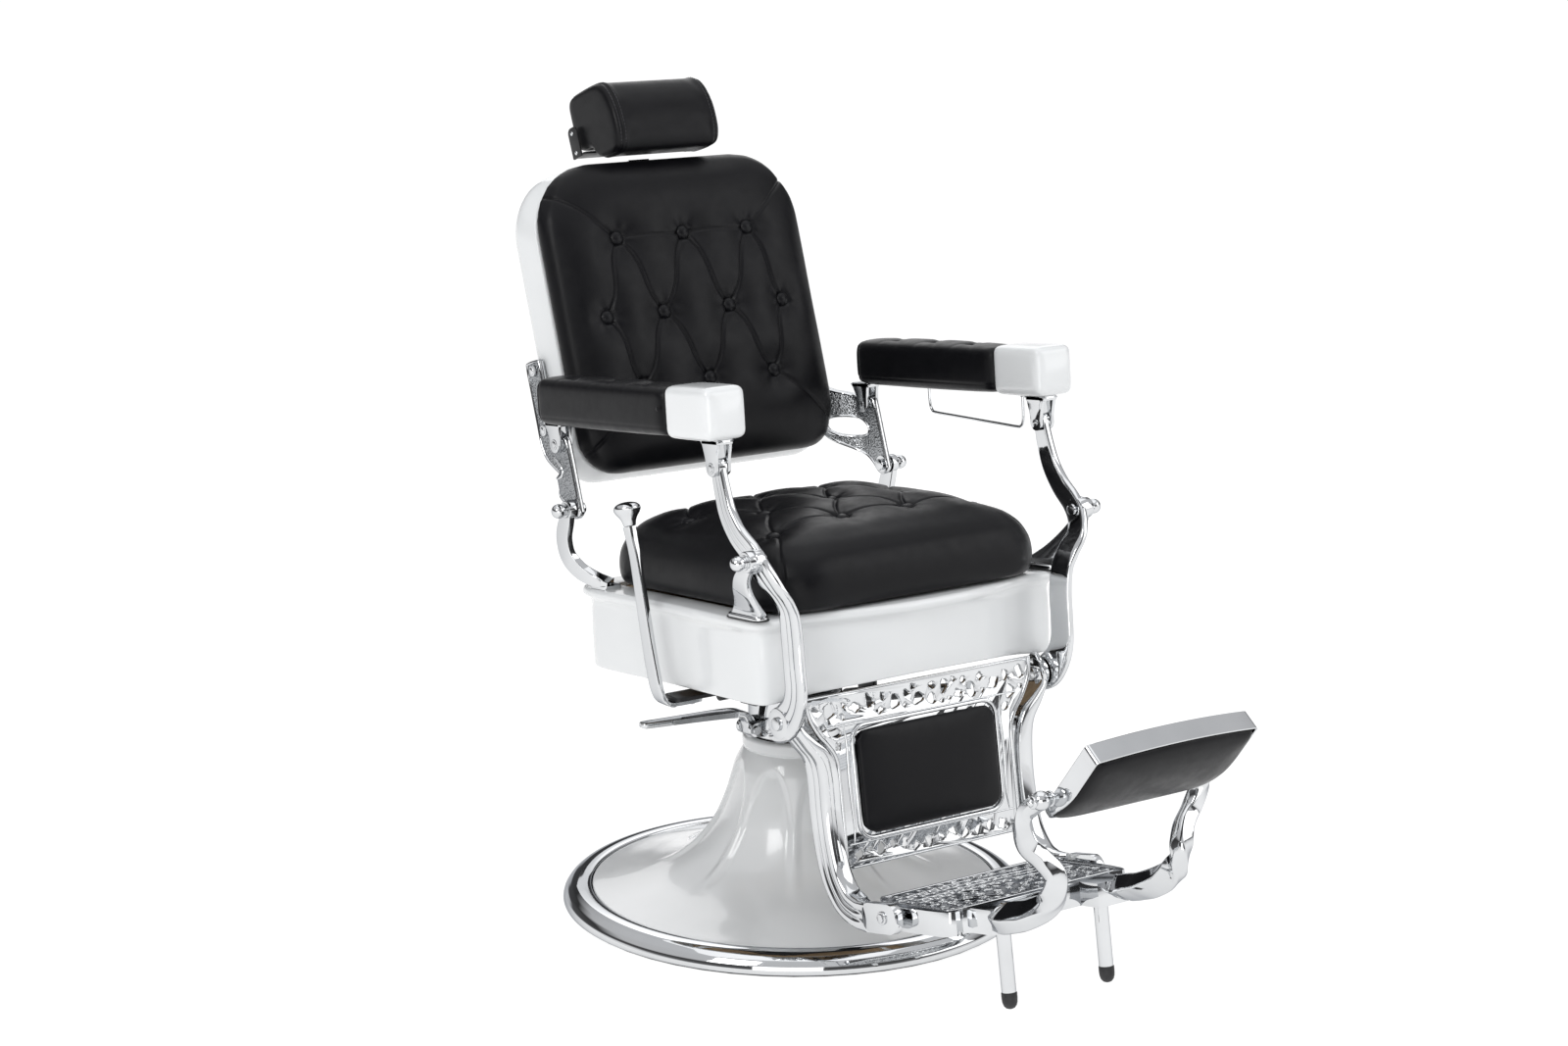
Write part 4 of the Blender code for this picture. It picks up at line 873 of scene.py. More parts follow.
def diamond_seams(buttons, reach, bow=0.004):
    """Folds between buttons of neighbouring rows."""
    seams = []
    for i, a in enumerate(buttons):
        for b in buttons[i + 1:]:
            if abs(a[1] - b[1]) > 0.02 and math.dist(a, b) < reach:
                seams.append((bowed(a, b, bow if a[0] < b[0] else -bow), 1.0))
    return seams


def cushion_form(half, low, high, radii, layers, edge=6):
    """A stack of corner-rounded outlines: (inset, depth) layers from the back face out."""
    base = rounded_rect(half, low, high, *radii, 6, edge)
    middle = (low + high) / 2
    reach = (high - low) / 2
    rings = []
    for distance, depth in layers:
        sx, sy = (half - distance) / half, (reach - distance) / reach
        rings.append([(x * sx, (y - middle) * sy + middle, depth) for x, y in base])
    return rings


def build_seat_cushion():
    layers = ((0.018, 0.0020), (0.006, 0.004), (0.001, 0.014), (0.0, 0.036), (0.003, 0.056),
              (0.012, 0.076), (0.030, 0.094), (0.058, 0.108), (0.095, 0.118), (0.140, 0.1245),
              (0.190, 0.1270))
    bm = loft(cushion_form(0.243, -0.306, 0.148, (0.075, 0.060), layers))
    obj = inflate(bm, 0.0055, 0.010, 2, lambda p: p[2] < 0.006)
    seams = diamond_seams(SEAT_BUTTONS, 0.14)
    front = [((-0.18, -0.200), (-0.06, -0.200)), ((-0.06, -0.200), (0.06, -0.200)),
             ((0.06, -0.200), (0.18, -0.200))]
    seams += [(bowed(a, b, 0.002), 0.5) for a, b in front]
    corners = [((s * 0.18, -0.200), (s * 0.228, -0.292)) for s in (-1, 1)]
    corners += [((s * 0.18, 0.010), (s * 0.12, 0.105)) for s in (-1, 1)]
    corners += [((s * 0.12, 0.105), (s * 0.220, 0.138)) for s in (-1, 1)]
    seams += [(bowed(a, b, 0.003), 0.45) for a, b in corners]

    def plane(points):
        return points[:, :2], points[:, 2] > 0.045
    refine(obj, 1, near_seams(plane, seams, SEAT_BUTTONS))
    points, normals = surface(obj)
    flat = points[:, :2]
    up = np.clip((points[:, 2] - 0.055) / 0.035, 0, 1)
    depth = tuft_depth(flat, SEAT_BUTTONS, seams, 0.0070, 0.0028, 0.0040)
    corner = np.ones(len(points))
    for s in (-1, 1):
        d, _ = seam_distance(flat, [(s * 0.20, -0.24), (s * 0.245, -0.325)])
        corner *= 1 - np.exp(-(d / 0.0022) ** 2)
    points -= normals * (depth * up)[:, None]
    points -= normals * (0.0022 * (1 - corner) * (1 - up))[:, None]
    points[:, 2] = np.maximum(points[:, 2], 0.0008)
    move_points(obj, points)
    bm = bmesh.new()
    for x, y in SEAT_BUTTONS:
        where = surface_point(points, flat, (x, y), points[:, 2] > 0.06)
        tilt = Vector((x * 0.5, (y + 0.08) * 0.5, 1))
        join(bm, dome(Vector((x, y, where[2] + 0.0020)), tilt, 0.0108, 0.0064, rim=0.0006))
    piece("seat_buttons", bm, BUTTON, "seat", place=SEAT_M, smooth=60)
    finish_soft(obj, "seat_pad", "seat", ["seat_cushion"], SEAT_M)


# ---- seat hardware -------------------------------------------------------------------------
def rounded_box_ring(x0, x1, y0, y1, z0, z1, corner=0.3, steps=4):
    """One ring of a standing bar; z0 is the height at y0 and z1 at y1."""
    cx, cy = (x0 + x1) / 2, (y0 + y1) / 2
    hx, hy = (x1 - x0) / 2, (y1 - y0) / 2
    r = min(abs(hx), abs(hy)) * corner * 2
    points = []
    for sx, sy, c, s in corner_arcs(steps):
        x, y = cx + sx * (hx - r) + r * c, cy + sy * (hy - r) + r * s
        t = (y - y0) / (y1 - y0)
        points.append((x, y, z0 * (1 - t) + z1 * t))
    return points


RIM_UP = (0, RIM_SLOPE, 1)


def rim_at(y):
    """Height of the seat rim, which falls towards the back."""
    return RIM_HEIGHT - RIM_SLOPE * y


# x from and to, y from and to, height over the rim, corner
KNEE_POST = ((0.2515, 0.2765, -0.2860, -0.2090, 0.0018, 0.5),
             (0.2515, 0.2765, -0.2860, -0.2090, 0.0055, 0.5),
             (0.2525, 0.2755, -0.2850, -0.2110, 0.0070, 0.5),
             (0.2560, 0.2735, -0.2840, -0.2175, 0.0080, 0.3),
             (0.2610, 0.2750, -0.2900, -0.2260, 0.0140, 0.3),
             (0.2740, 0.2865, -0.2910, -0.2440, 0.0300, 0.3),
             (0.2865, 0.2990, -0.2940, -0.2580, 0.0480, 0.3),
             (0.2945, 0.3065, -0.3010, -0.2710, 0.0660, 0.3),
             (0.2950, 0.3065, -0.3090, -0.2830, 0.0820, 0.3),
             (0.2950, 0.3065, -0.3110, -0.2880, 0.0960, 0.3))
REAR_POST = ((0.2560, 0.1100, 0.5052, 0.0300, 0.0090), (0.2620, 0.1180, 0.5065, 0.0240, 0.0135),
             (0.2720, 0.1320, 0.5110, 0.0160, 0.0200), (0.2850, 0.1480, 0.5220, 0.0125, 0.0260),
             (0.2950, 0.1630, 0.5420, 0.0110, 0.0300), (0.2990, 0.1670, 0.5700, 0.0110, 0.0300),
             (0.2990, 0.1600, 0.5960, 0.0110, 0.0270), (0.2990, 0.1550, 0.6140, 0.0110, 0.0230))


def build_brackets():
    for side, sign in SIDES:
        gasket = [rounded_box_ring(0.2490, 0.2772, -0.2880, -0.2060, RIM_HEIGHT + 0.0239 + z,
                                   RIM_HEIGHT + 0.0171 + z, 0.5) for z in (0.0002, 0.0022)]
        bm = loft([mirrored(ring, sign) for ring in gasket])
        piece(f"knee_gasket_{side}", bm, RUBBER, "seat", bevel=0.0004)
        rings = []
        for x0, x1, y0, y1, z, corner in KNEE_POST[:3] + tuple(catmull(KNEE_POST[3:], 4)):
            low, high = rim_at(y0) + z, rim_at(y1) + z
            if z > 0.01:
                low = high = (low + high) / 2
            ring = rounded_box_ring(x0, x1, y0, y1, low, high, corner)
            rings.append(mirrored(ring, sign))
        bm = loft(rings)
        join(bm, disc_x(sign * 0.2950, sign * 0.3070, *KNEE, 0.0150, 0.0015))
        for y in (-0.278, -0.218):
            join(bm, dome((sign * 0.2630, y, rim_at(y) + 0.0068), RIM_UP, 0.0040, 0.0018))
        piece(f"knee_post_{side}", bm, CHROME, "seat", [f"knee_bracket_{side}"],
              smooth=40)
        bm = sweep(mirrored(REAR_POST, sign), lambda t: oblong(0.35), Vector((sign, 0, 0)), 7)
        join(bm, disc_x(sign * 0.2935, sign * 0.3045, *REAR, 0.0140, 0.0015))
        join(bm, prism(rounded_rect(0.0165, -0.030, 0.008, 0.006, 0.006, 5), 0, 0.0045,
                       lambda a, b, d: Vector((sign * 0.2560 + a, 0.1330 + b,
                                               rim_at(0.133 + b) + 0.0004 + d))))
        join(bm, dome((sign * 0.2560, 0.1130, 0.5035), RIM_UP, 0.0045, 0.0022))
        piece(f"rear_post_{side}", bm, CHROME, "seat", [f"rear_bracket_{side}"],
              smooth=40)
        ball_bolt(f"knee_nut_{side}", sign, *KNEE, 0.2772, 0.3185, f"knee_ball_{side}")
        ball_bolt(f"rear_nut_{side}", sign, *REAR, 0.2760, 0.3160, f"rear_ball_{side}")


def ball_bolt(name, sign, y, z, x_low, x_ball, node):
    """Ball nut with a stepped collar outside, low domed head inside."""
    radius = 0.0107
    profile = [(0, x_low - 0.0048), (0.0050, x_low - 0.0044), (0.0082, x_low - 0.0030),
               (0.0088, x_low - 0.0012), (0.0088, x_low), (0.0049, x_low),
               (0.0049, x_ball - 0.0120), (0.0102, x_ball - 0.0120), (0.0105, x_ball - 0.0112),
               (0.0102, x_ball - 0.0102), (0.0078, x_ball - 0.0096), (0.0074, x_ball - 0.0086)]
    for k in range(14):
        a = math.radians(-47 + 137 * k / 13)
        profile.append((radius * math.cos(a), x_ball + radius * math.sin(a)))
    bm = lathe(profile, 48, along((sign, y, z), (0, y, z)))
    piece(name, bm, CHROME, "seat", [node], smooth=30)


def build_recline_lever():
    y, z = SHAFT
    bm = lathe([(0, 0), (0.0080, 0), (0.0080, 0.0665), (0, 0.0665)], 32,
               along((-0.1, y, z), (-0.199, y, z)))
    plate = prism(rounded_rect(0.0180, -0.052, 0.052, 0.005, 0.005, 5), 0.0060, 0.0125,
                  lambda a, b, d: Vector((-0.230 + b, y + a, z + d)))
    join(bm, plate)
    piece("recline_plate", bm, DARK, "recline_lever", ["recline_shaft"],
          bevel=0.0012)
    stations = [(-0.236, y, z + 0.0022, 0.018, 0.0045), (-0.240, y, z + 0.0022, 0.024, 0.0055),
                (-0.280, y, z + 0.0024, 0.024, 0.006), (-0.2965, y - 0.001, z + 0.0075, 0.0245,
                0.007), (-0.3060, y - 0.002, z + 0.0240, 0.0255, 0.008),
                (-0.3090, -0.0800, 0.4250, 0.0250, 0.0085),
                (-0.3100, -0.0680, 0.4700, 0.0230, 0.0090),
                (-0.3100, -0.0520, 0.5300, 0.0205, 0.0095),
                (-0.3100, -0.0380, 0.5800, 0.0180, 0.0100),
                (-0.3100, -0.0280, 0.6080, 0.0165, 0.0120),
                (-0.3100, -0.0240, 0.6220, 0.0170, 0.0150)]
    bm = sweep(stations, lambda t: oblong(0.5, 6), Vector((0, 1, 0)), 7)
    for x in (-0.278, -0.246):
        join(bm, dome((x, y, z - 0.0008), (0, 0, -1), 0.0062, 0.0042, rim=0.001))
    piece("recline_handle", bm, CHROME, "recline_lever", ["recline_arm"], smooth=50)
    profile = [(0, -0.0035), (0.0078, -0.0030), (0.0092, 0.0000), (0.0105, 0.0050),
               (0.0130, 0.0100), (0.0168, 0.0150), (0.0192, 0.0195), (0.0196, 0.0225),
               (0.0180, 0.0260), (0.0140, 0.0292), (0.0070, 0.0312), (0, 0.0318)]
    place = along((-0.310, -0.0235 + 0.29, 1.6255), (-0.310, -0.0235, 0.6255))
    bm = lathe(catmull(profile, 3), 56, place)
    piece("recline_bulb", bm, CHROME, "recline_lever", ["recline_knob"], smooth=60)


# ---- backrest ------------------------------------------------------------------------------
def back_place(x, s, t):
    return (x, t, s)


def build_back_shell():
    profile = [(0.0180, 0.0560), (0.0125, 0.0552), (0.0095, 0.0562), (0.0080, 0.0590),
               (0.0045, 0.0700), (0.0015, 0.0820), (0.0, 0.0940), (0.0020, 0.1020),
               (0.0060, 0.1080), (0.0130, 0.1130),
               (0.0240, 0.1165), (0.0400, 0.1185), (0.0560, 0.1190), (0.0600, 0.1198),
               (0.0660, 0.1208), (0.0760, 0.1212), (0.1200, 0.1222), (0.1700, 0.1226)]
    rings = []
    for distance, depth in catmull(profile, 3):
        outline = rounded_rect(0.2415 - distance, 0.042 + distance, 0.5185 - distance,
                               max(0.060 - distance * 0.5, 0.02),
                               max(0.105 - distance * 0.6, 0.02), 14, 8)
        rings.append([back_place(x, s, depth) for x, s in outline])
    back_outline = [back_place(x, s, 0.0562) for x, s in
                    rounded_rect(0.223, 0.062, 0.500, 0.045, 0.090, 14, 8)]
    bm = loft([back_outline] + rings)
    obj = piece("back_casing", bm, ENAMEL, "backrest", ["back_shell"],
                place=BACK_M, smooth=50)
    trim = prism(rounded_rect(0.0235, 0.0885, 0.0995, 0.0025, 0.0025, 4), 0.5195, 0.5245,
                 along_z)
    piece("headrest_slot_trim", trim, DARK, "backrest", place=BACK_M, bevel=0.0005)
    return obj


BACK_BUTTONS = ([(x, 0.396) for x in (-0.1195, 0.0, 0.1195)]
                + [(x, 0.278) for x in (-0.1616, -0.060, 0.060, 0.1616)]
                + [(x, 0.170) for x in (-0.1200, 0.0, 0.1200)])


def build_back_cushion():
    layers = ((0.012, 0.0555), (0.003, 0.054), (0.0, 0.048), (0.001, 0.036), (0.009, 0.022),
              (0.028, 0.012), (0.065, 0.0075), (0.110, 0.006), (0.160, 0.0055))
    rings = cushion_form(0.2350, 0.0440, 0.5180, (0.060, 0.100), layers)
    bm = loft([[(x, depth, s) for x, s, depth in ring] for ring in rings])
    obj = inflate(bm, 0.0055, 0.009, 1, lambda p: p[1] > 0.050)
    seams = diamond_seams(BACK_BUTTONS, 0.145, 0.005)
    seams += [(bowed((-0.1195, 0.396), (0.0, 0.396), 0.001), 0.65),
              (bowed((0.0, 0.396), (0.1195, 0.396), 0.001), 0.65)]
    corners = []
    for s in (-1, 1):
        corners.append([(s * 0.1195, 0.396), (s * 0.150, 0.420), (s * 0.180, 0.446),
                        (s * 0.208, 0.466), (s * 0.226, 0.478)])
        corners.append([(s * 0.1200, 0.170), (s * 0.150, 0.148), (s * 0.180, 0.120),
                        (s * 0.205, 0.096), (s * 0.226, 0.080)])
    seams += [(c, 0.55) for c in corners]

    def plane(points):
        return points[:, [0, 2]], points[:, 1] < 0.045
    refine(obj, 1, near_seams(plane, seams, BACK_BUTTONS))
    points, normals = surface(obj)
    flat = points[:, [0, 2]]
    faced = np.clip((0.052 - points[:, 1]) / 0.020, 0, 1)
    depth = tuft_depth(flat, BACK_BUTTONS, seams, 0.0070, 0.0028, 0.0042, 0.024)
    points -= normals * (depth * faced)[:, None]
    points[:, 1] = np.minimum(points[:, 1], 0.0552)
    move_points(obj, points)
    bm = bmesh.new()
    for x, s in BACK_BUTTONS:
        where = surface_point(points, flat, (x, s), points[:, 1] < 0.04)
        lean = Vector((x * 0.4, -1, (s - 0.28) * 0.4))
        join(bm, dome(Vector((x, where[1] - 0.0022, s)), lean, 0.0116, 0.0078, rim=0.0006))
    piece("back_buttons", bm, BUTTON, "backrest", place=BACK_M, smooth=60)
    finish_soft(obj, "back_pad", "backrest", ["back_cushion"], BACK_M)


BRACKET_OUTLINE = ((-0.0140, 0.0), (-0.0120, -0.0100), (0.0, -0.0150), (0.0120, -0.0100),
                   (0.0230, 0.0080), (0.0420, 0.0270), (0.0680, 0.0500), (0.0950, 0.0720),
                   (0.1120, 0.0900), (0.1185, 0.1150), (0.1190, 0.1500), (0.1190, 0.2000),
                   (0.1190, 0.2300), (0.1140, 0.2365), (0.0840, 0.2360), (0.0790, 0.2300),
                   (0.0785, 0.2000), (0.0770, 0.1640), (0.0680, 0.1400), (0.0450, 0.1240),
                   (0.0220, 0.1130), (0.0040, 0.1110), (-0.0080, 0.1060), (-0.0125, 0.0950),
                   (-0.0135, 0.0500))


def joggle(co, sign):
    co.x -= sign * 0.0350 * smoothstep(co.y, 0.030, 0.080)


def build_back_brackets():
    away = (ARM_REAR[0] - REAR[0], ARM_REAR[1] - REAR[1])
    pin = turned([away], math.radians(BACK_LEAN))[0]
    outline = catmull(BRACKET_OUTLINE, 5, closed=True)
    hole = turned(ellipse(0.034, 0.0135, 40), 0.4, 0.049, 0.071)
    for side, sign in SIDES:
        def place(a, b, depth):
            return Vector((sign * (0.279 + depth), a, b))
        bm = prism(outline, 0.0018, 0.0082, place)
        obj = piece(f"back_plate_{side}", bm, HAMMERED, "backrest",
                    [f"back_bracket_{side}"], smooth=30)
        cut(obj, prism(hole, -0.02, 0.03, place))
        bm = bmesh.new()
        bm.from_mesh(obj.data)
        for k in range(16):
            bmesh.ops.bisect_plane(bm, geom=bm.verts[:] + bm.edges[:] + bm.faces[:], dist=1e-5,
                                   plane_co=(0, 0.028 + 0.054 * k / 15, 0), plane_no=(0, 1, 0))
        for vert in bm.verts:
            joggle(vert.co, sign)
        bmesh.ops.transform(bm, matrix=BACK_M, verts=bm.verts)
        bmesh.ops.triangulate(bm, faces=[f for f in bm.faces if len(f.verts) > 4])
        bm.to_mesh(obj.data)
        bm.free()
        reshade(obj, 30)
        rim = bmesh.new()
        for path in (relaxed_inset(outline, 0.0022), inset(hole, -0.0022)):
            points = [place(a, b, 0.005) for a, b in path]
            join(rim, stadium_tube(points, 0.0026, 0.0052))
        join(rim, disc_x(sign * 0.2790, sign * 0.2905, 0.0, 0.0, 0.0135, 0.0015))
        join(rim, disc_x(sign * 0.2790, sign * 0.2893, *pin, 0.0120, 0.0015))
        for b in (0.131, 0.222):
            join(rim, disc_x(sign * 0.2880, sign * 0.2912, 0.1000, b, 0.0085, 0.001))
            join(rim, dome((sign * 0.2912, 0.1000, b), (sign, 0, 0), 0.0058, 0.0024))
        for vert in rim.verts:
            joggle(vert.co, sign)
        piece(f"back_rim_{side}", rim, CHROME, "backrest", place=BACK_M, smooth=40)


def stadium_tube(points, half_in_plane, half_depth):
    """A closed raised border: an oval section swept round an outline in a plane of X."""
    rings = []
    count = len(points)
    for i, centre in enumerate(points):
        tangent = (points[(i + 1) % count] - points[i - 1]).normalized()
        across = tangent.cross(Vector((1, 0, 0))).normalized()
        rings.append([centre + across * half_in_plane * math.cos(a)
                      + Vector((half_depth * math.sin(a), 0, 0)) for a in turns(12)])
    return loft(rings, loop=True)


# ---- headrest ------------------------------------------------------------------------------
HEAD_OUTLINE = [(-0.0575, -0.0570), (-0.0480, -0.0600), (-0.0250, -0.0585), (0.0040, -0.0545),
                (0.0110, -0.0460), (0.0155, -0.0370), (0.0240, -0.0325), (0.0500, -0.0310),
                (0.0575, -0.0240), (0.0600, 0.0050), (0.0605, 0.0400), (0.0575, 0.0530),
                (0.0440, 0.0590), (0.0100, 0.0590), (-0.0200, 0.0575), (-0.0420, 0.0520),
                (-0.0560, 0.0360), (-0.0660, 0.0080), (-0.0685, -0.0180), (-0.0665, -0.0400)]


def build_headrest():
    outline = catmull(HEAD_OUTLINE, 3, closed=True)
    rings = []
    for x, shrink in ((-0.0950, 0.80), (-0.0945, 0.90), (-0.0915, 0.955), (-0.0860, 0.975),
                      (-0.05, 0.975), (0.0, 0.975), (0.05, 0.975), (0.0860, 0.975),
                      (0.0915, 0.955), (0.0945, 0.90), (0.0950, 0.80)):
        rings.append([(x, y * shrink, z * shrink) for y, z in outline])
    obj = inflate(loft(rings), 0.0045, 0.0035, 1,
                  lambda p: p[2] < -0.044 or (p[1] > 0.010 and p[2] < -0.024))
    refine(obj, 1)
    points, normals = surface(obj)
    side_seam = np.exp(-((np.abs(points[:, 0]) - 0.0845) / 0.0016) ** 2)
    swell = 0.0010 * np.exp(-((np.abs(points[:, 0]) - 0.0795) / 0.0035) ** 2)
    front = np.clip((0.045 - points[:, 1]) / 0.02, 0, 1)
    ripple = 0.0006 * np.sin(points[:, 2] * 160 + np.abs(points[:, 0]) * 60)
    ripple *= np.exp(-((np.abs(points[:, 0]) - 0.074) / 0.010) ** 2)
    points += normals * ((swell + ripple - 0.0022 * side_seam) * front)[:, None]
    move_points(obj, points)
    bm = bmesh.new()
    for sign in (-1, 1):
        for offset in (0.0808, 0.0880):
            band = np.abs(points[:, 0] - sign * offset) < 0.0012
            clear = (points[:, 1] < 0.012) | (points[:, 2] > -0.015)
            ring = points[band & clear & (points[:, 1] < 0.045) & (points[:, 2] > -0.052)]
            order = np.argsort(np.arctan2(ring[:, 2] + 0.010, ring[:, 1] - 0.020) % (2 * np.pi))
            ring = ring[order]
            path = [tuple(ring[i:i + 5].mean(axis=0)) for i in range(0, len(ring) - 5, 5)]
            path = [(sign * offset, p[1], p[2]) for p in path]

            def outward(p):
                return Vector((0, p.y - 0.005, p.z)).normalized()
            join(bm, stitches(path, outward))
    piece("headrest_stitching", bm, THREAD, "headrest", place=HEAD_M, smooth=60)
    finish_soft(obj, "headrest_block", "headrest", ["headrest_pad"], HEAD_M)
    build_headrest_metal()


def build_headrest_metal():
    bm = prism(rounded_rect(0.1030, 0.0230, 0.0515, 0.004, 0.004, 4), -0.0395, -0.0360, along_z)
    for sign in (-1, 1):
        low = min(sign * 0.1012, sign * 0.1040)
        ear = rounded_rect(0.0125, -0.0400, 0.0080, 0.002, 0.009, 6)
        join(bm, prism(ear, low, low + 0.0028, lambda a, b, d: Vector((d, 0.0440 + a, b))))
    piece("headrest_yoke", bm, DARK, "headrest_post", ["headrest_bracket"],
          place=HEAD_M, bevel=0.0006)
    bm = bmesh.new()
    for sign in (-1, 1):
        for y, z in ((0.0455, -0.0010), (0.0445, -0.0320)):
            join(bm, dome((sign * 0.1040, y, z), (sign, 0, 0), 0.0034, 0.0018, rim=0.0006))
    piece("headrest_screws", bm, CHROME, "headrest_post", place=HEAD_M)
    bm = prism(rounded_rect(0.0190, 0.0912, 0.0968, 0.0012, 0.0012, 3), 0.3720, 0.5290, along_z)
    piece("headrest_blade", bm, CHROME, "headrest_post", ["headrest_bar"],
          place=BACK_M, smooth=40)


# ---- armrests ------------------------------------------------------------------------------
def soft_box(low, high, radius, crown, cuts=9):
    """A rounded block: a box of quads whose skin is rounded and slightly crowned."""
    size = [h - l for l, h in zip(low, high)]
    middle = Vector([(l + h) / 2 for l, h in zip(low, high)])
    bm = bmesh.new()
    bmesh.ops.create_cube(bm, size=2.0)
    bmesh.ops.subdivide_edges(bm, edges=bm.edges[:], cuts=cuts, use_grid_fill=True)
    half = Vector([s / 2 for s in size])
    edge = 1 - 2.0 * 2 / (cuts + 1)
    for vert in bm.verts:
        unit = vert.co.copy()
        for i in range(3):
            core = half[i] - radius
            u = unit[i]
            if abs(u) > edge:
                away = (abs(u) - edge) / (1 - edge)
                u = math.copysign(core / half[i] + (1 - core / half[i]) * away, u)
            else:
                u = u / edge * core / half[i]
            vert.co[i] = u * half[i]
        inner = Vector([max(-half[i] + radius, min(half[i] - radius, vert.co[i]))
                        for i in range(3)])
        out = vert.co - inner
        if out.length > 1e-9:
            vert.co = inner + out.normalized() * radius
        for i in range(3):
            j, k = (i + 1) % 3, (i + 2) % 3
            away = (1 - (vert.co[j] / half[j]) ** 2) * (1 - (vert.co[k] / half[k]) ** 2)
            if abs(vert.co[i]) > half[i] * 0.5:
                vert.co[i] += math.copysign(crown[i] * max(away, 0.0), vert.co[i])
        vert.co += middle
    return bm


ARM_DIPS = (-0.2600, -0.1700, -0.0800)


def build_armrests():
    low, high = ARM_X - 0.0325, ARM_X + 0.0325
    bm = soft_box((low, -0.3390, 0.0320), (high, 0.0020, 0.1010), 0.014, (0.0005, 0.001, 0.0015))
    obj = inflate(bm, 0.0045, 0.0045, 2, lambda p: p[2] < 0.035 or p[1] < -0.336)
    refine(obj, 1)
    points, normals = surface(obj)
    up = np.clip((points[:, 2] - 0.080) / 0.02, 0, 1)
    depth = np.zeros(len(points))
    for along_arm in ARM_DIPS:
        dx, dy = points[:, 0] - ARM_X, points[:, 1] - along_arm
        r = np.hypot(dx, dy)
        depth += 0.0060 * np.exp(-(r / 0.013) ** 2)
        for s in (-1, 1):
            for t in (-1, 1):
                tip = (ARM_X + s * 0.034, along_arm + t * 0.030)
                d, way = seam_distance(points[:, :2], [(ARM_X, along_arm), tip])
                depth += 0.0022 * (1 - way) ** 1.2 * np.exp(-(d / 0.0045) ** 2)
    seam_line = 0.0016 * np.exp(-((points[:, 2] - 0.0445) / 0.0014) ** 2)
    end_seam = 0.0018 * np.exp(-((points[:, 1] + 0.0115) / 0.0015) ** 2)
    points -= normals * (depth * up + seam_line * 0.5 + end_seam)[:, None]
    points[:, 0] = np.clip(points[:, 0], ARM_X - 0.0365, ARM_X + 0.0365)
    points[:, 1] = np.maximum(points[:, 1], -0.3398)
    for side, sign in SIDES:
        mesh = obj.data.copy()
        twin = link("arm_twin", mesh)
        move_points(twin, points * (sign, 1, 1))
        if sign < 0:
            mesh.flip_normals()
        finish_soft(twin, f"arm_cushion_{side}", "armrests", [f"arm_pad_{side}"], ARMS_M)
        x = sign * ARM_X
        bm = soft_box((x - 0.0340, -0.4460, 0.0310), (x + 0.0340, -0.3402, 0.1040), 0.0115,
                      (0.0012, 0.0022, 0.0012), cuts=11)
        piece(f"arm_end_{side}", bm, ENAMEL, "armrests", [f"arm_cap_{side}"],
              place=ARMS_M, smooth=180, levels=1)
        stud = dome((x + sign * 0.0362, -0.3300, 0.0720), (sign, 0, 0), 0.0032, 0.0016)
        piece(f"arm_stud_{side}", stud, BUTTON, "armrests", place=ARMS_M)
        build_clevises(side, sign)
    bpy.data.objects.remove(obj, do_unlink=True)
    wire = [(ARM_X, -0.146, 0.0350), (ARM_X, -0.1462, 0.018), (ARM_X, -0.1475, 0.004),
            (ARM_X, -0.1515, -0.0040), (ARM_X, -0.160, -0.0070), (ARM_X, -0.205, -0.0100),
            (ARM_X, -0.260, -0.0135), (ARM_X, -0.310, -0.0165), (ARM_X, -0.352, -0.0190),
            (ARM_X, -0.3610, -0.0175), (ARM_X, -0.3655, -0.0120), (ARM_X, -0.3675, 0.0),
            (ARM_X, -0.3680, 0.0310)]
    bm = tube(wire, 0.0021, 6, 16)
    for y, z in ((-0.146, 0.0335), (-0.368, 0.0305)):
        join(bm, lathe([(0, 0.0), (0.0045, 0.0), (0.0048, -0.0015), (0.0035, -0.004), (0, -0.004)],
                       24, Matrix.Translation((ARM_X, y, z))))
    piece("towel_wire", bm, CHROME, "armrests", ["towel_rail"], place=ARMS_M, smooth=60)


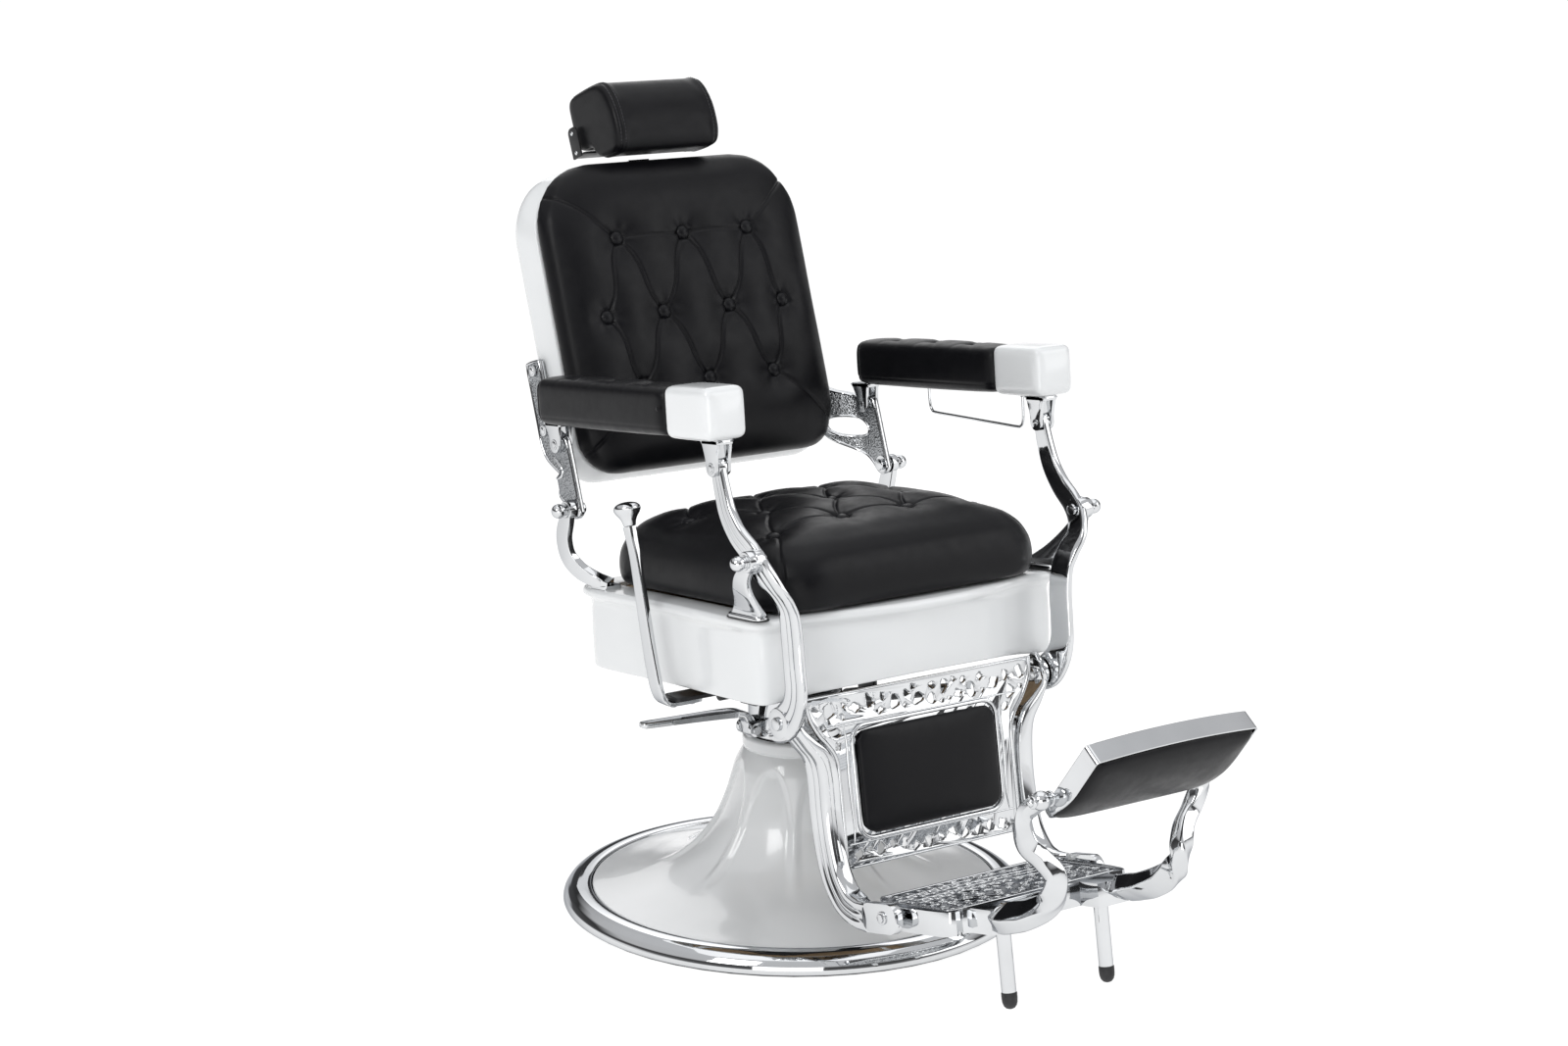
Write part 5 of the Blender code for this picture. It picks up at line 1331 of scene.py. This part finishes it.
def build_clevises(side, sign):
    away = (ARM_FRONT[0] - ARM_REAR[0], ARM_FRONT[1] - ARM_REAR[1])
    front = turned([away], math.radians(ARM_LEAN))[0]
    for name, x, gap, pin, y0, y1, top, ear in (
            ("rear", 0.284, 0.0105, (0.0, 0.0), -0.018, 0.024, 0.0337, 0.0125),
            ("front", 0.290, 0.0125, front, -0.434, -0.392, 0.0307, 0.0118)):
        bm = bmesh.new()
        inner, outer = gap / 2 + 0.0015, gap / 2 + 0.0070
        arc = [(pin[0] + ear * math.cos(math.radians(a)), pin[1] + ear * math.sin(math.radians(a)))
               for a in range(185, 356, 10)]
        outline = catmull(arc + [(pin[0] + ear * 1.05, pin[1] + 0.012), (y1 - 0.003, top - 0.007),
                                 (y1, top - 0.0012), (y0, top - 0.0012), (y0 + 0.003, top - 0.007),
                                 (pin[0] - ear * 1.05, pin[1] + 0.012)], 3, closed=True)
        for s in (-1, 1):
            xs = sorted((sign * x + s * inner, sign * x + s * outer))
            join(bm, prism(outline, *xs, along_x))
        base = rounded_rect(outer, y0, y1, 0.003, 0.003, 4)
        join(bm, prism([(sign * x + a, b) for a, b in base], top - 0.0070, top - 0.0002, along_z))
        piece(f"{name}_fork_{side}", bm, CHROME, "armrests",
                    [f"{name}_clevis_{side}"], place=ARMS_M, bevel=0.0009, segments=2)
        bm = disc_x(sign * (x - outer), sign * (x + outer + 0.0018), *pin, 0.0052, 0.001,
                    crown=0.0006)
        join(bm, disc_x(sign * (x + outer), sign * (x - outer - 0.0018), *pin, 0.0052, 0.001,
                        crown=0.0006))
        join(bm, disc_x(sign * (x + outer - 0.0005), sign * (x + outer + 0.0008), *pin, 0.0078,
                        0.0004))
        piece(f"{name}_pin_{side}", bm, SATIN, "armrests", place=ARMS_M)


# ---- front struts and calf frame -----------------------------------------------------------
def strut_depth(t):
    """Groove depth along a strut: none at the eye, shallow above the knee, full below."""
    return 0.16 * smoothstep(t, 0.05, 0.16) + 0.26 * smoothstep(t, 0.40, 0.56)


STRUT = ((0.2900, -0.2120, 0.7480, 0.0110, 0.0150), (0.2900, -0.2135, 0.7430, 0.0120, 0.0215),
         (0.2900, -0.2165, 0.7290, 0.0120, 0.0255), (0.2900, -0.2245, 0.7050, 0.0120, 0.0290),
         (0.2905, -0.2375, 0.6760, 0.0120, 0.0320), (0.2900, -0.2600, 0.6500, 0.0120, 0.0340),
         (0.2875, -0.2880, 0.6300, 0.0120, 0.0360), (0.2840, -0.3050, 0.6110, 0.0120, 0.0380),
         (0.2740, -0.3160, 0.5900, 0.0120, 0.0400), (0.2570, -0.3185, 0.5670, 0.0120, 0.0400),
         (0.2460, -0.3185, 0.5450, 0.0120, 0.0400), (0.2420, -0.3200, 0.5100, 0.0120, 0.0420),
         (0.2415, -0.3250, 0.4700, 0.0120, 0.0420), (0.2405, -0.3280, 0.4380, 0.0120, 0.0430),
         (0.2395, -0.3220, 0.4130, 0.0125, 0.0450), (0.2390, -0.3070, 0.3920, 0.0130, 0.0500),
         (0.2390, -0.2900, 0.3790, 0.0130, 0.0480), (0.2390, -0.2760, 0.3700, 0.0130, 0.0360),
         (0.2390, -0.2690, 0.3655, 0.0125, 0.0200))


def build_struts():
    for side, sign in SIDES:
        bm = sweep(mirrored(STRUT, sign), fluted(strut_depth), Vector((sign, 0, 0)), 7)
        join(bm, disc_x(sign * 0.2835, sign * 0.2965, *ARM_FRONT, 0.0118, 0.0015))
        join(bm, disc_x(sign * 0.2960, sign * 0.2815, *KNEE, 0.0175, 0.002))
        join(bm, disc_x(sign * 0.2320, sign * 0.2462, *LEG, 0.0225, 0.0025))
        piece(f"strut_casting_{side}", bm, CHROME, "front_struts", [f"strut_{side}"],
              smooth=40)


RAIL = ((0.2225, -0.2790, 0.4080, 0.0080, 0.0200), (0.2225, -0.2830, 0.4030, 0.0095, 0.0300),
        (0.2225, -0.2880, 0.3900, 0.0100, 0.0390), (0.2215, -0.2945, 0.3710, 0.0115, 0.0430),
        (0.2060, -0.2990, 0.3520, 0.0180, 0.0430), (0.1860, -0.3020, 0.3300, 0.0250, 0.0440),
        (0.1775, -0.3050, 0.3020, 0.0280, 0.0450), (0.1760, -0.3110, 0.2500, 0.0280, 0.0450),
        (0.1760, -0.3230, 0.2000, 0.0280, 0.0450), (0.1760, -0.3390, 0.1620, 0.0280, 0.0450),
        (0.1760, -0.3640, 0.1350, 0.0275, 0.0450), (0.1762, -0.3900, 0.1262, 0.0260, 0.0450),
        (0.1790, -0.4090, 0.1262, 0.0190, 0.0440), (0.1825, -0.4200, 0.1275, 0.0130, 0.0430))


def rail_depth(t):
    """Groove depth along a leg rail: none at its two ends."""
    return 0.20 * smoothstep(t, 0.12, 0.30) * (1 - smoothstep(t, 0.90, 0.985))


def build_rails():
    for side, sign in SIDES:
        bm = sweep(mirrored(RAIL, sign), fluted(rail_depth), Vector((sign, 0, 0)), 7)
        join(bm, disc_x(sign * 0.2165, sign * 0.2290, *LEG, 0.0220, 0.002))
        outline = turned(rounded_rect(0.0375, -0.0210, 0.0210, 0.0165, 0.0165, 8),
                         math.radians(-12.0), -0.4520, 0.1355)
        xs = sorted((sign * 0.1765, sign * 0.1895))
        join(bm, prism(outline, *xs, along_x))
        piece(f"rail_casting_{side}", bm, CHROME, "calf_frame", [f"leg_rail_{side}"],
              smooth=40, bevel=0.0012, segments=2)
        bm = disc_x(sign * 0.2140, sign * 0.2500, *LEG, 0.0050, 0.0005)
        join(bm, disc_x(sign * 0.2462, sign * 0.2505, *LEG, 0.0095, 0.0012, crown=0.0015))
        join(bm, disc_x(sign * 0.2160, sign * 0.2110, *LEG, 0.0090, 0.0012, crown=0.0015))
        piece(f"knuckle_bolt_{side}", bm, SATIN, "calf_frame", [f"leg_bolt_{side}"])
    bm = lathe([(0, -0.1925), (0.0050, -0.1925), (0.0050, 0.1925), (0, 0.1925)], 32,
               along((1, *TREAD), (0, *TREAD)))
    for sign in (-1, 1):
        join(bm, disc_x(sign * 0.1895, sign * 0.1925, *TREAD, 0.0092, 0.001))
        hexagon = [(TREAD[0] + 0.0066 * math.cos(math.pi * k / 3), TREAD[1]
                    + 0.0066 * math.sin(math.pi * k / 3)) for k in range(6)]
        xs = sorted((sign * 0.1925, sign * 0.1950))
        join(bm, prism(hexagon, *xs, along_x))
    piece("tread_axle", bm, SATIN, "calf_frame", ["tread_rod"], bevel=0.0004)


def blob(rng, x, y, size, steps=22):
    """An irregular rounded cut-out: a stretched loop with soft lobes."""
    turn = rng.uniform(0, math.pi)
    stretch = rng.uniform(0.55, 0.95)
    lobes = rng.choice((2, 3, 3, 4))
    phase = rng.uniform(0, 6.28)
    dent = rng.uniform(0.10, 0.26)
    points = []
    for a in turns(steps):
        r = size * (1 + dent * math.cos(lobes * a + phase)) / (1 + dent)
        points.append((r * math.cos(a), r * math.sin(a) * stretch))
    return turned(points, turn, x, y)


TRIES = 50


def scatter(rng, inside, x_range, y_range, sizes, gap=0.0022, taken=()):
    """Pack irregular cut-outs without touching, biggest first."""
    placed = list(taken)
    blobs = []
    for size in sizes:
        for _ in range(TRIES):
            x, y = rng.uniform(*x_range), rng.uniform(*y_range)
            room = all(math.hypot(x - a, y - b) > size + other + gap
                       for a, b, other in placed)
            if room and inside(x, y, size):
                placed.append((x, y, size))
                blobs.append(blob(rng, x, y, size))
    return blobs


def relief(blobs, place, lift, radius=0.00075):
    """Raised rims round cut-outs."""
    bm = bmesh.new()
    for points in blobs:
        path = [place(a, b, lift) for a, b in inset(points, -radius * 0.8)]
        join(bm, tube(path, radius, 1, 6, closed=True))
    return bm


PANEL_HALF = ((0.205, 0.028), (0.2035, 0.010), (0.1990, -0.006), (0.1860, -0.028),
              (0.1680, -0.050), (0.1610, -0.068), (0.1600, -0.090), (0.1600, -0.140),
              (0.1600, -0.200), (0.1570, -0.214), (0.1480, -0.221))


def panel_half_width(z):
    for (x1, z1), (x2, z2) in zip(PANEL_HALF, PANEL_HALF[1:]):
        if z2 <= z <= z1:
            return x1 + (x2 - x1) * (z1 - z) / (z1 - z2)
    return 0.148


def build_calf_panel():
    rng = random.Random(11)
    outline = list(PANEL_HALF) + [(-x, z) for x, z in reversed(PANEL_HALF)]
    bm = prism(outline, -0.0090, -0.0042, along_y)
    obj = piece("calf_plate", bm, CHROME, "calf_frame", ["calf_panel"], place=CALF_M,
                smooth=30)

    def top_band(x, z, size):
        return (-0.0165 + size < z < 0.0225 - size
                and abs(x) + size < panel_half_width(z) - 0.008) or (
                    abs(x) - size > 0.138 and -0.055 < z < -0.010
                    and abs(x) + size < panel_half_width(z - size) - 0.005)

    def low_band(x, z, size):
        return -0.2170 + size < z < -0.1880 - size and abs(x) + size < 0.150
    upper = scatter(rng, top_band, (-0.190, 0.190), (-0.05, 0.022),
                    [0.0120] * 9 + [0.0090] * 14 + [0.0066] * 14 + [0.0048] * 14, 0.0020)
    lower = scatter(rng, low_band, (-0.148, 0.148), (-0.217, -0.188),
                    [0.0100] * 10 + [0.0080] * 12 + [0.0056] * 14, 0.0018)
    holes = bmesh.new()
    for points in upper + lower:
        join(holes, prism(points, -0.03, 0.01, along_y))
    bmesh.ops.transform(holes, matrix=CALF_M, verts=holes.verts)
    cut(obj, holes)
    add_bevel(obj, 0.0006, 2)
    bake(obj)
    reshade(obj)
    rim = relief(upper + lower, along_y, -0.0090, 0.0006)
    frame_path = rounded_rect(0.1300, -0.1825, -0.0220, 0.024, 0.024, 8, 4)
    ring = [Vector((a, -0.0100, b)) for a, b in frame_path]
    join(rim, tube(ring, 0.0032, 1, 12, closed=True))
    for s in (-1, 1):
        bead = [(s * (panel_half_width(z) - 0.0035), -0.0088, z)
                for z in (0.026, 0.010, -0.006, -0.028, -0.050, -0.068, -0.090, -0.140, -0.200,
                          -0.213)]
        join(rim, tube(bead, 0.0030, 5, 12))
        bow = [(s * 0.1420, -0.0088, -0.017), (s * 0.1385, -0.0088, -0.045),
               (s * 0.1400, -0.0088, -0.100), (s * 0.1385, -0.0088, -0.160),
               (s * 0.1410, -0.0088, -0.186)]
        join(rim, tube(bow, lambda t: 0.0008 + 0.0018 * math.sin(math.pi * t), 8, 10))
    for z, half in ((0.0262, 0.200), (-0.0190, 0.170), (-0.1868, 0.150), (-0.2190, 0.147)):
        half = min(half, panel_half_width(z) - 0.004)
        line = [(-half + 2 * half * k / 12, -0.0088, z) for k in range(13)]
        join(rim, tube(line, 0.0013, 1, 8))
    piece("calf_relief", rim, CAST_CHROME, "calf_frame", place=CALF_M, smooth=60)


def build_calf_pad():
    layers = ((0.004, -0.0100), (0.001, -0.0118), (0.001, -0.0150), (0.004, -0.0180),
              (0.014, -0.0200), (0.034, -0.0216), (0.060, -0.0224))
    rings = cushion_form(0.1265, -0.179, -0.0255, (0.022, 0.022), layers, edge=5)
    bm = loft([[(x, depth, z) for x, z, depth in ring] for ring in rings])
    obj = inflate(bm, 0.0036, 0.0040, 1, lambda p: p[1] > -0.0125)
    refine(obj, 1)
    points = coordinates(obj)
    points[:, 1] = np.minimum(points[:, 1], -0.0094)
    move_points(obj, points)
    finish_soft(obj, "calf_cushion", "calf_frame", ["calf_pad"], CALF_M)


# ---- tread and foot pad --------------------------------------------------------------------
TREAD_HALF = ((0.137, 0.070), (0.144, 0.062), (0.151, 0.045), (0.156, 0.022), (0.168, 0.012),
              (0.168, -0.035), (0.166, -0.070), (0.163, -0.095), (0.158, -0.107),
              (0.150, -0.1115), (0.142, -0.1075), (0.134, -0.1045), (0.127, -0.1070),
              (0.124, -0.1130), (0.122, -0.152), (0.068, -0.152), (0.068, -0.114))


def build_tread():
    rng = random.Random(5)
    outline = [(-x, y) for x, y in TREAD_HALF] + [(x, y) for x, y in reversed(TREAD_HALF)]
    inner = inset(outline, 0.0045)
    if abs(inner[0][0]) > abs(outline[0][0]):
        inner = inset(outline, -0.0045)
    rings = [[(x, y, z) for x, y in points] for points, z in
             ((outline, 0.0125), (outline, -0.0215), (inner, -0.0215), (inner, 0.0085))]
    obj = piece("tread_casting", loft(rings), CHROME, "tread", ["tread_plate"],
                place=TREAD_M, smooth=30)

    def field(x, y, size):
        return (abs(x) + size < 0.150 - 0.0002 and -0.098 + size < y < 0.060 - size
                and not (abs(x) > 0.142 - size and y > 0.03 - size))
    slots = []
    for row in range(5):
        for k in range(-6, 7):
            x = 0.0212 * k + (0.0106 if row % 2 else 0.0)
            y = 0.046 - 0.0165 * row + 0.006 * math.cos(x / 0.05)
            if not field(x, y, 0.0085):
                continue
            turn = 0.9 * math.sin(x / 0.06) + (0.5 if row % 2 else -0.5)
            slots.append(turned(ellipse(0.0085, 0.0036, 14), turn, x, y))
    taken = [(sum(p[0] for p in s) / 14, sum(p[1] for p in s) / 14, 0.008) for s in slots]
    blobs = scatter(rng, field, (-0.145, 0.145), (-0.095, 0.056),
                    [0.0088] * 26 + [0.0066] * 30 + [0.0048] * 40, taken=taken)
    holes = bmesh.new()
    for points in slots + blobs:
        join(holes, prism(points, 0.002, 0.03, along_z))
    bmesh.ops.transform(holes, matrix=TREAD_M, verts=holes.verts)
    cut(obj, holes)
    add_bevel(obj, 0.0007, 2)
    bake(obj)
    reshade(obj)
    obj.data.materials.append(TREAD_TOP)
    # Faces that point up take the darker, rougher chrome; the rest stays polished.
    up = TREAD_M.to_3x3() @ Vector((0, 0, 1))
    for face in obj.data.polygons:
        face.material_index = 1 if face.normal.dot(up) > 0.6 else 0
    rim = relief(slots + blobs, along_z, 0.0125, 0.0005)
    edge = [Vector((a, b, 0.0122)) for a, b in
            rounded_rect(0.1530, -0.1005, 0.0630, 0.012, 0.020, 6, 8)]
    join(rim, tube(edge, 0.0012, 1, 8, closed=True))
    for row in range(4):
        wave = [(-0.140 + 0.280 * k / 40, 0.0378 - 0.0165 * row
                 + 0.006 * math.cos((-0.140 + 0.280 * k / 40) / 0.05), 0.0124)
                for k in range(41)]
        join(rim, tube(wave, 0.0008, 1, 6))
    piece("tread_relief", rim, CAST_CHROME, "tread", place=TREAD_M, smooth=60)
    build_pegs()


PAD_ARM = ((0.1080, -0.6108, 0.1668, 0.0290, 0.0330), (0.1080, -0.6160, 0.1677, 0.0280, 0.0360),
           (0.1080, -0.6230, 0.1690, 0.0270, 0.0390), (0.1085, -0.6400, 0.1750, 0.0255, 0.0410),
           (0.1085, -0.6680, 0.1860, 0.0240, 0.0390), (0.1085, -0.7035, 0.2080, 0.0235, 0.0350),
           (0.1105, -0.7233, 0.2335, 0.0235, 0.0320), (0.1120, -0.7254, 0.2589, 0.0240, 0.0290),
           (0.1258, -0.7147, 0.2802, 0.0240, 0.0265), (0.1456, -0.7081, 0.3006, 0.0235, 0.0245),
           (0.1565, -0.7105, 0.3280, 0.0225, 0.0230), (0.1570, -0.7182, 0.3508, 0.0215, 0.0220),
           (0.1556, -0.7400, 0.3700, 0.0205, 0.0205))


PEG_X, PEG_Y, PAD_ARM_X = 0.0875, -0.1320, 0.1080


def pad_arm_section(t):
    """The pad arm's section: nearly square at the tread, round towards the pad."""
    return oblong(0.34 + 0.66 * smoothstep(t, 0.25, 0.8), 6)


def build_pegs():
    for side, sign in SIDES:
        x = sign * PEG_X
        peg = Matrix.Translation((x, PEG_Y, 0))
        bm = lathe([(0.0102, 0.0084), (0.0102, -0.1085), (0.0094, -0.1095), (0, -0.1095)], 48, peg)
        join(bm, lathe([(0.0132, -0.0160), (0.0132, -0.0225), (0.0120, -0.0240),
                        (0.0103, -0.0240), (0.0103, -0.0160)], 48, peg, loop=True))
        piece(f"peg_tube_{side}", bm, CHROME, "tread", [f"peg_{side}"],
              place=TREAD_M, smooth=40)
        tip = lathe([(0, -0.1080), (0.0106, -0.1080), (0.0110, -0.1090), (0.0110, -0.1160),
                     (0.0105, -0.1215), (0.0090, -0.1262), (0.0062, -0.1295), (0.0032, -0.1308),
                     (0, -0.1310)], 40, peg)
        piece(f"peg_tip_{side}", tip, RUBBER, "tread", place=TREAD_M, smooth=50)
        bm = sweep(mirrored(PAD_ARM, sign), pad_arm_section, Vector((sign * 0.35, -0.55, 0.75)), 8)
        ball = [(0.0130 * math.cos(math.radians(a)), 0.1555 + 0.0130 * math.sin(math.radians(a)))
                for a in range(-90, 91, 9)]
        join(bm, lathe(ball, 44, along((sign, *FOOT), (0, *FOOT))))
        start, end = (TREAD_M @ Vector((x * PAD_ARM_X / PEG_X, y, 0.0010))
                      for y in (-0.1525, -0.1600))
        collar = [(0, 0), (0.0150, 0), (0.0158, 0.0012), (0.0158, 0.0030), (0.0148, 0.0044),
                  (0, 0.0044)]
        join(bm, lathe(collar, 44, along(end, start)))
        piece(f"pad_bracket_{side}", bm, CHROME, "tread", [f"pad_arm_{side}"],
              smooth=45)


def tray_depth(up):
    t = min(max((up + 0.042) / 0.092, 0.0), 1.0)
    return 0.0045 + 0.0250 * math.sin(t * math.pi / 2)


def arched(x, up):
    """The tray's upper edge is bowed: highest in the middle of its width."""
    return up - 0.0085 * (x / 0.141) ** 2 * smoothstep(up, 0.0, 0.118)


def build_foot_pad():
    outline = rounded_rect(0.1410, -0.0420, 0.1180, 0.036, 0.006, 8, 14)

    def ring(points, depth_at):
        return [(x, -depth_at(z), arched(x, z)) for x, z in points]
    inner, edge = inset(outline, 0.0030), inset(outline, 0.0012)
    rings = [ring(edge, lambda z: 0.0), ring(outline, lambda z: 0.0012), ring(outline, tray_depth),
             ring(inset(outline, 0.0015), lambda z: tray_depth(z) + 0.0006),
             ring(inner, tray_depth), ring(inner, lambda z: 0.0030)]
    bm = loft(rings)
    for k in range(5):
        z = -0.012 + 0.026 * k
        rib = [(-0.118 + 0.236 * j / 16, 0.0002, z + 0.004 * math.cos(math.pi * j / 8))
               for j in range(17)]
        join(bm, tube(rib, 0.0014, 1, 8))
    for sign in (-1, 1):
        axis = along((sign, 0, 0), (0, 0, 0))
        profile = rounded([(0, 0.1385), (0.0100, 0.1385), (0.0106, 0.1395), (0.0106, 0.1420),
                           (0.0085, 0.1428), (0.0050, 0.1430), (0.0050, 0.1680), (0.0082, 0.1682),
                           (0.0086, 0.1700), (0.0080, 0.1716), (0.0050, 0.1722), (0.0052, 0.1730),
                           (0.0046, 0.1750), (0.0025, 0.1768), (0, 0.1772)], 0.0006, 2)
        join(bm, lathe(profile, 36, axis))
    piece("foot_shell", bm, CHROME, "foot_pad", ["foot_tray"], place=FOOT_M, smooth=40)
    pad = inset(outline, 0.0036)
    middle, half_up = 0.038, 0.0764
    rings = [ring(pad, lambda z: 0.0036)]
    for distance, proud in ((0.0, -0.0015), (0.001, 0.002), (0.005, 0.0050), (0.015, 0.0085),
                            (0.035, 0.0110), (0.055, 0.0120)):
        sx, sz = (0.1374 - distance) / 0.1374, (half_up - distance) / half_up
        shrunk = [(x * sx, middle + (z - middle) * sz) for x, z in pad]
        rings.append(ring(shrunk, lambda z: tray_depth(z) + proud))
    obj = inflate(loft(rings), 0.0038, 0.0045, 1, lambda p: p[1] > -tray_depth(p[2]) + 0.001)
    refine(obj, 1)
    points = coordinates(obj)
    points[:, 0] = np.clip(points[:, 0], -0.1370, 0.1370)
    points[:, 1] = np.minimum(points[:, 1], -0.0034)
    move_points(obj, points)
    finish_soft(obj, "foot_cushion", "foot_pad", ["foot_leather"], FOOT_M)


# ---- hidden CAD nodes keep their shape and get a finish ------------------------------------
def dress_cad_nodes():
    looks = {"floor_gasket": RUBBER, "weight_plate": IRON, "swivel_bearing": BRONZE,
             "pump_cylinder": STEEL, "ram": CHROME, "seat_frame": DARK, "seat_board": PLYWOOD,
             "lock_cylinder": DARK, "lock_rod": CHROME, "headrest_guide": DARK}
    for name, material in looks.items():
        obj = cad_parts[name]
        obj.data.materials.clear()
        obj.data.materials.append(material)


# ---- studio --------------------------------------------------------------------------------
def area_light(name, where, target, size, size_y, power, colour=(1, 1, 1)):
    light = bpy.data.lights.new(name, "AREA")
    light.shape = "RECTANGLE"
    light.size = size
    light.size_y = size_y
    light.energy = power
    light.color = colour
    obj = link(name, light)
    obj.location = where
    obj.rotation_euler = (Vector(target) - Vector(where)).to_track_quat("-Z", "Y").to_euler()
    return obj


FLOOR_HALF, FLOOR_DROP = 30.0, 0.0004
# name, place, aimed at, width, height, watts
LIGHTS = (("key_left", (-3.2, -1.2, 2.9), (0, -0.1, 0.6), 1.4, 1.9, 46),
          ("fill_right", (2.6, -2.9, 2.2), (0, -0.1, 0.5), 2.6, 3.0, 40),
          ("top", (0.2, 0.2, 3.6), (0, 0, 0.5), 3.6, 3.6, 26),
          ("front", (-2.6, -3.2, 1.0), (0, -0.1, 0.4), 2.4, 1.8, 24),
          ("rim", (1.8, 2.8, 2.4), (0, 0.1, 0.7), 2.6, 2.6, 26))
# brightness of the walls and ceiling by height: pale low, a dark band, a pale ceiling
SKY = ((0.05, 0.90), (0.11, 0.12), (0.34, 0.05), (0.48, 0.60))


def build_studio():
    bm = bmesh.new()
    bmesh.ops.create_grid(bm, x_segments=40, y_segments=40, size=FLOOR_HALF)
    floor = link("studio_floor", to_mesh(bm, "studio_floor"))
    floor.location.z = -FLOOR_DROP
    pale = shader("pale_floor", (0.25, 0.25, 0.25), 0.75, Emission_Color=(1, 1, 1, 1),
                  Emission_Strength=0.88, Specular_IOR_Level=0.1)
    tint(pale, noise(pale, 0.6, 2.0), (0.245, 0.245, 0.245), (0.255, 0.255, 0.255))
    floor.data.materials.append(pale)
    world = bpy.data.worlds.new("studio")
    bpy.context.scene.world = world
    world.use_nodes = True
    tree = world.node_tree
    background = tree.nodes["Background"]
    where = tree.nodes.new("ShaderNodeTexCoord")
    split = tree.nodes.new("ShaderNodeSeparateXYZ")
    ramp = tree.nodes.new("ShaderNodeValToRGB")
    elements = ramp.color_ramp.elements
    elements[0].position, elements[0].color = 0.0, (0.98, 0.98, 0.98, 1)
    elements[1].position, elements[1].color = 1.0, (0.70, 0.71, 0.73, 1)
    for position, value in SKY:
        element = elements.new(position)
        element.color = (value, value, value * 1.02, 1)
    tree.links.new(where.outputs["Generated"], split.inputs["Vector"])
    tree.links.new(split.outputs["Z"], ramp.inputs["Fac"])
    tree.links.new(ramp.outputs["Color"], background.inputs["Color"])
    background.inputs["Strength"].default_value = 1.0
    for light in LIGHTS:
        area_light(*light)


CAMERA_AT = (-2.790, -3.787, 1.633)
CAMERA_YAW, CAMERA_PITCH, CAMERA_ROLL = 36.166, -12.586, 0.215
CAMERA_LENS, CAMERA_SENSOR = 74.8, 36.0


def build_camera():
    camera = bpy.data.cameras.new("camera")
    camera.lens = CAMERA_LENS
    camera.sensor_width = CAMERA_SENSOR
    camera.clip_end = 200.0
    obj = link("camera", camera)
    yaw, pitch, roll = (math.radians(a) for a in (CAMERA_YAW, CAMERA_PITCH, CAMERA_ROLL))
    forward = Vector((math.sin(yaw) * math.cos(pitch), math.cos(yaw) * math.cos(pitch),
                      math.sin(pitch)))
    right = Vector((math.cos(yaw), -math.sin(yaw), 0))
    up = right.cross(forward)
    turn = Matrix((right, up, -forward)).transposed().to_4x4()
    obj.matrix_world = (Matrix.Translation(CAMERA_AT) @ turn
                        @ Matrix.Rotation(roll, 4, "Z"))
    bpy.context.scene.camera = obj
    view = bpy.context.scene.view_settings
    view.view_transform, view.look, view.exposure = "Standard", "None", 0.0


build_base()
build_pump()
build_skirt()
build_seat_cushion()
build_brackets()
build_recline_lever()
build_back_shell()
build_back_cushion()
build_back_brackets()
build_headrest()
build_armrests()
build_struts()
build_rails()
build_calf_panel()
build_calf_pad()
build_tread()
build_foot_pad()
dress_cad_nodes()
build_studio()
build_camera()
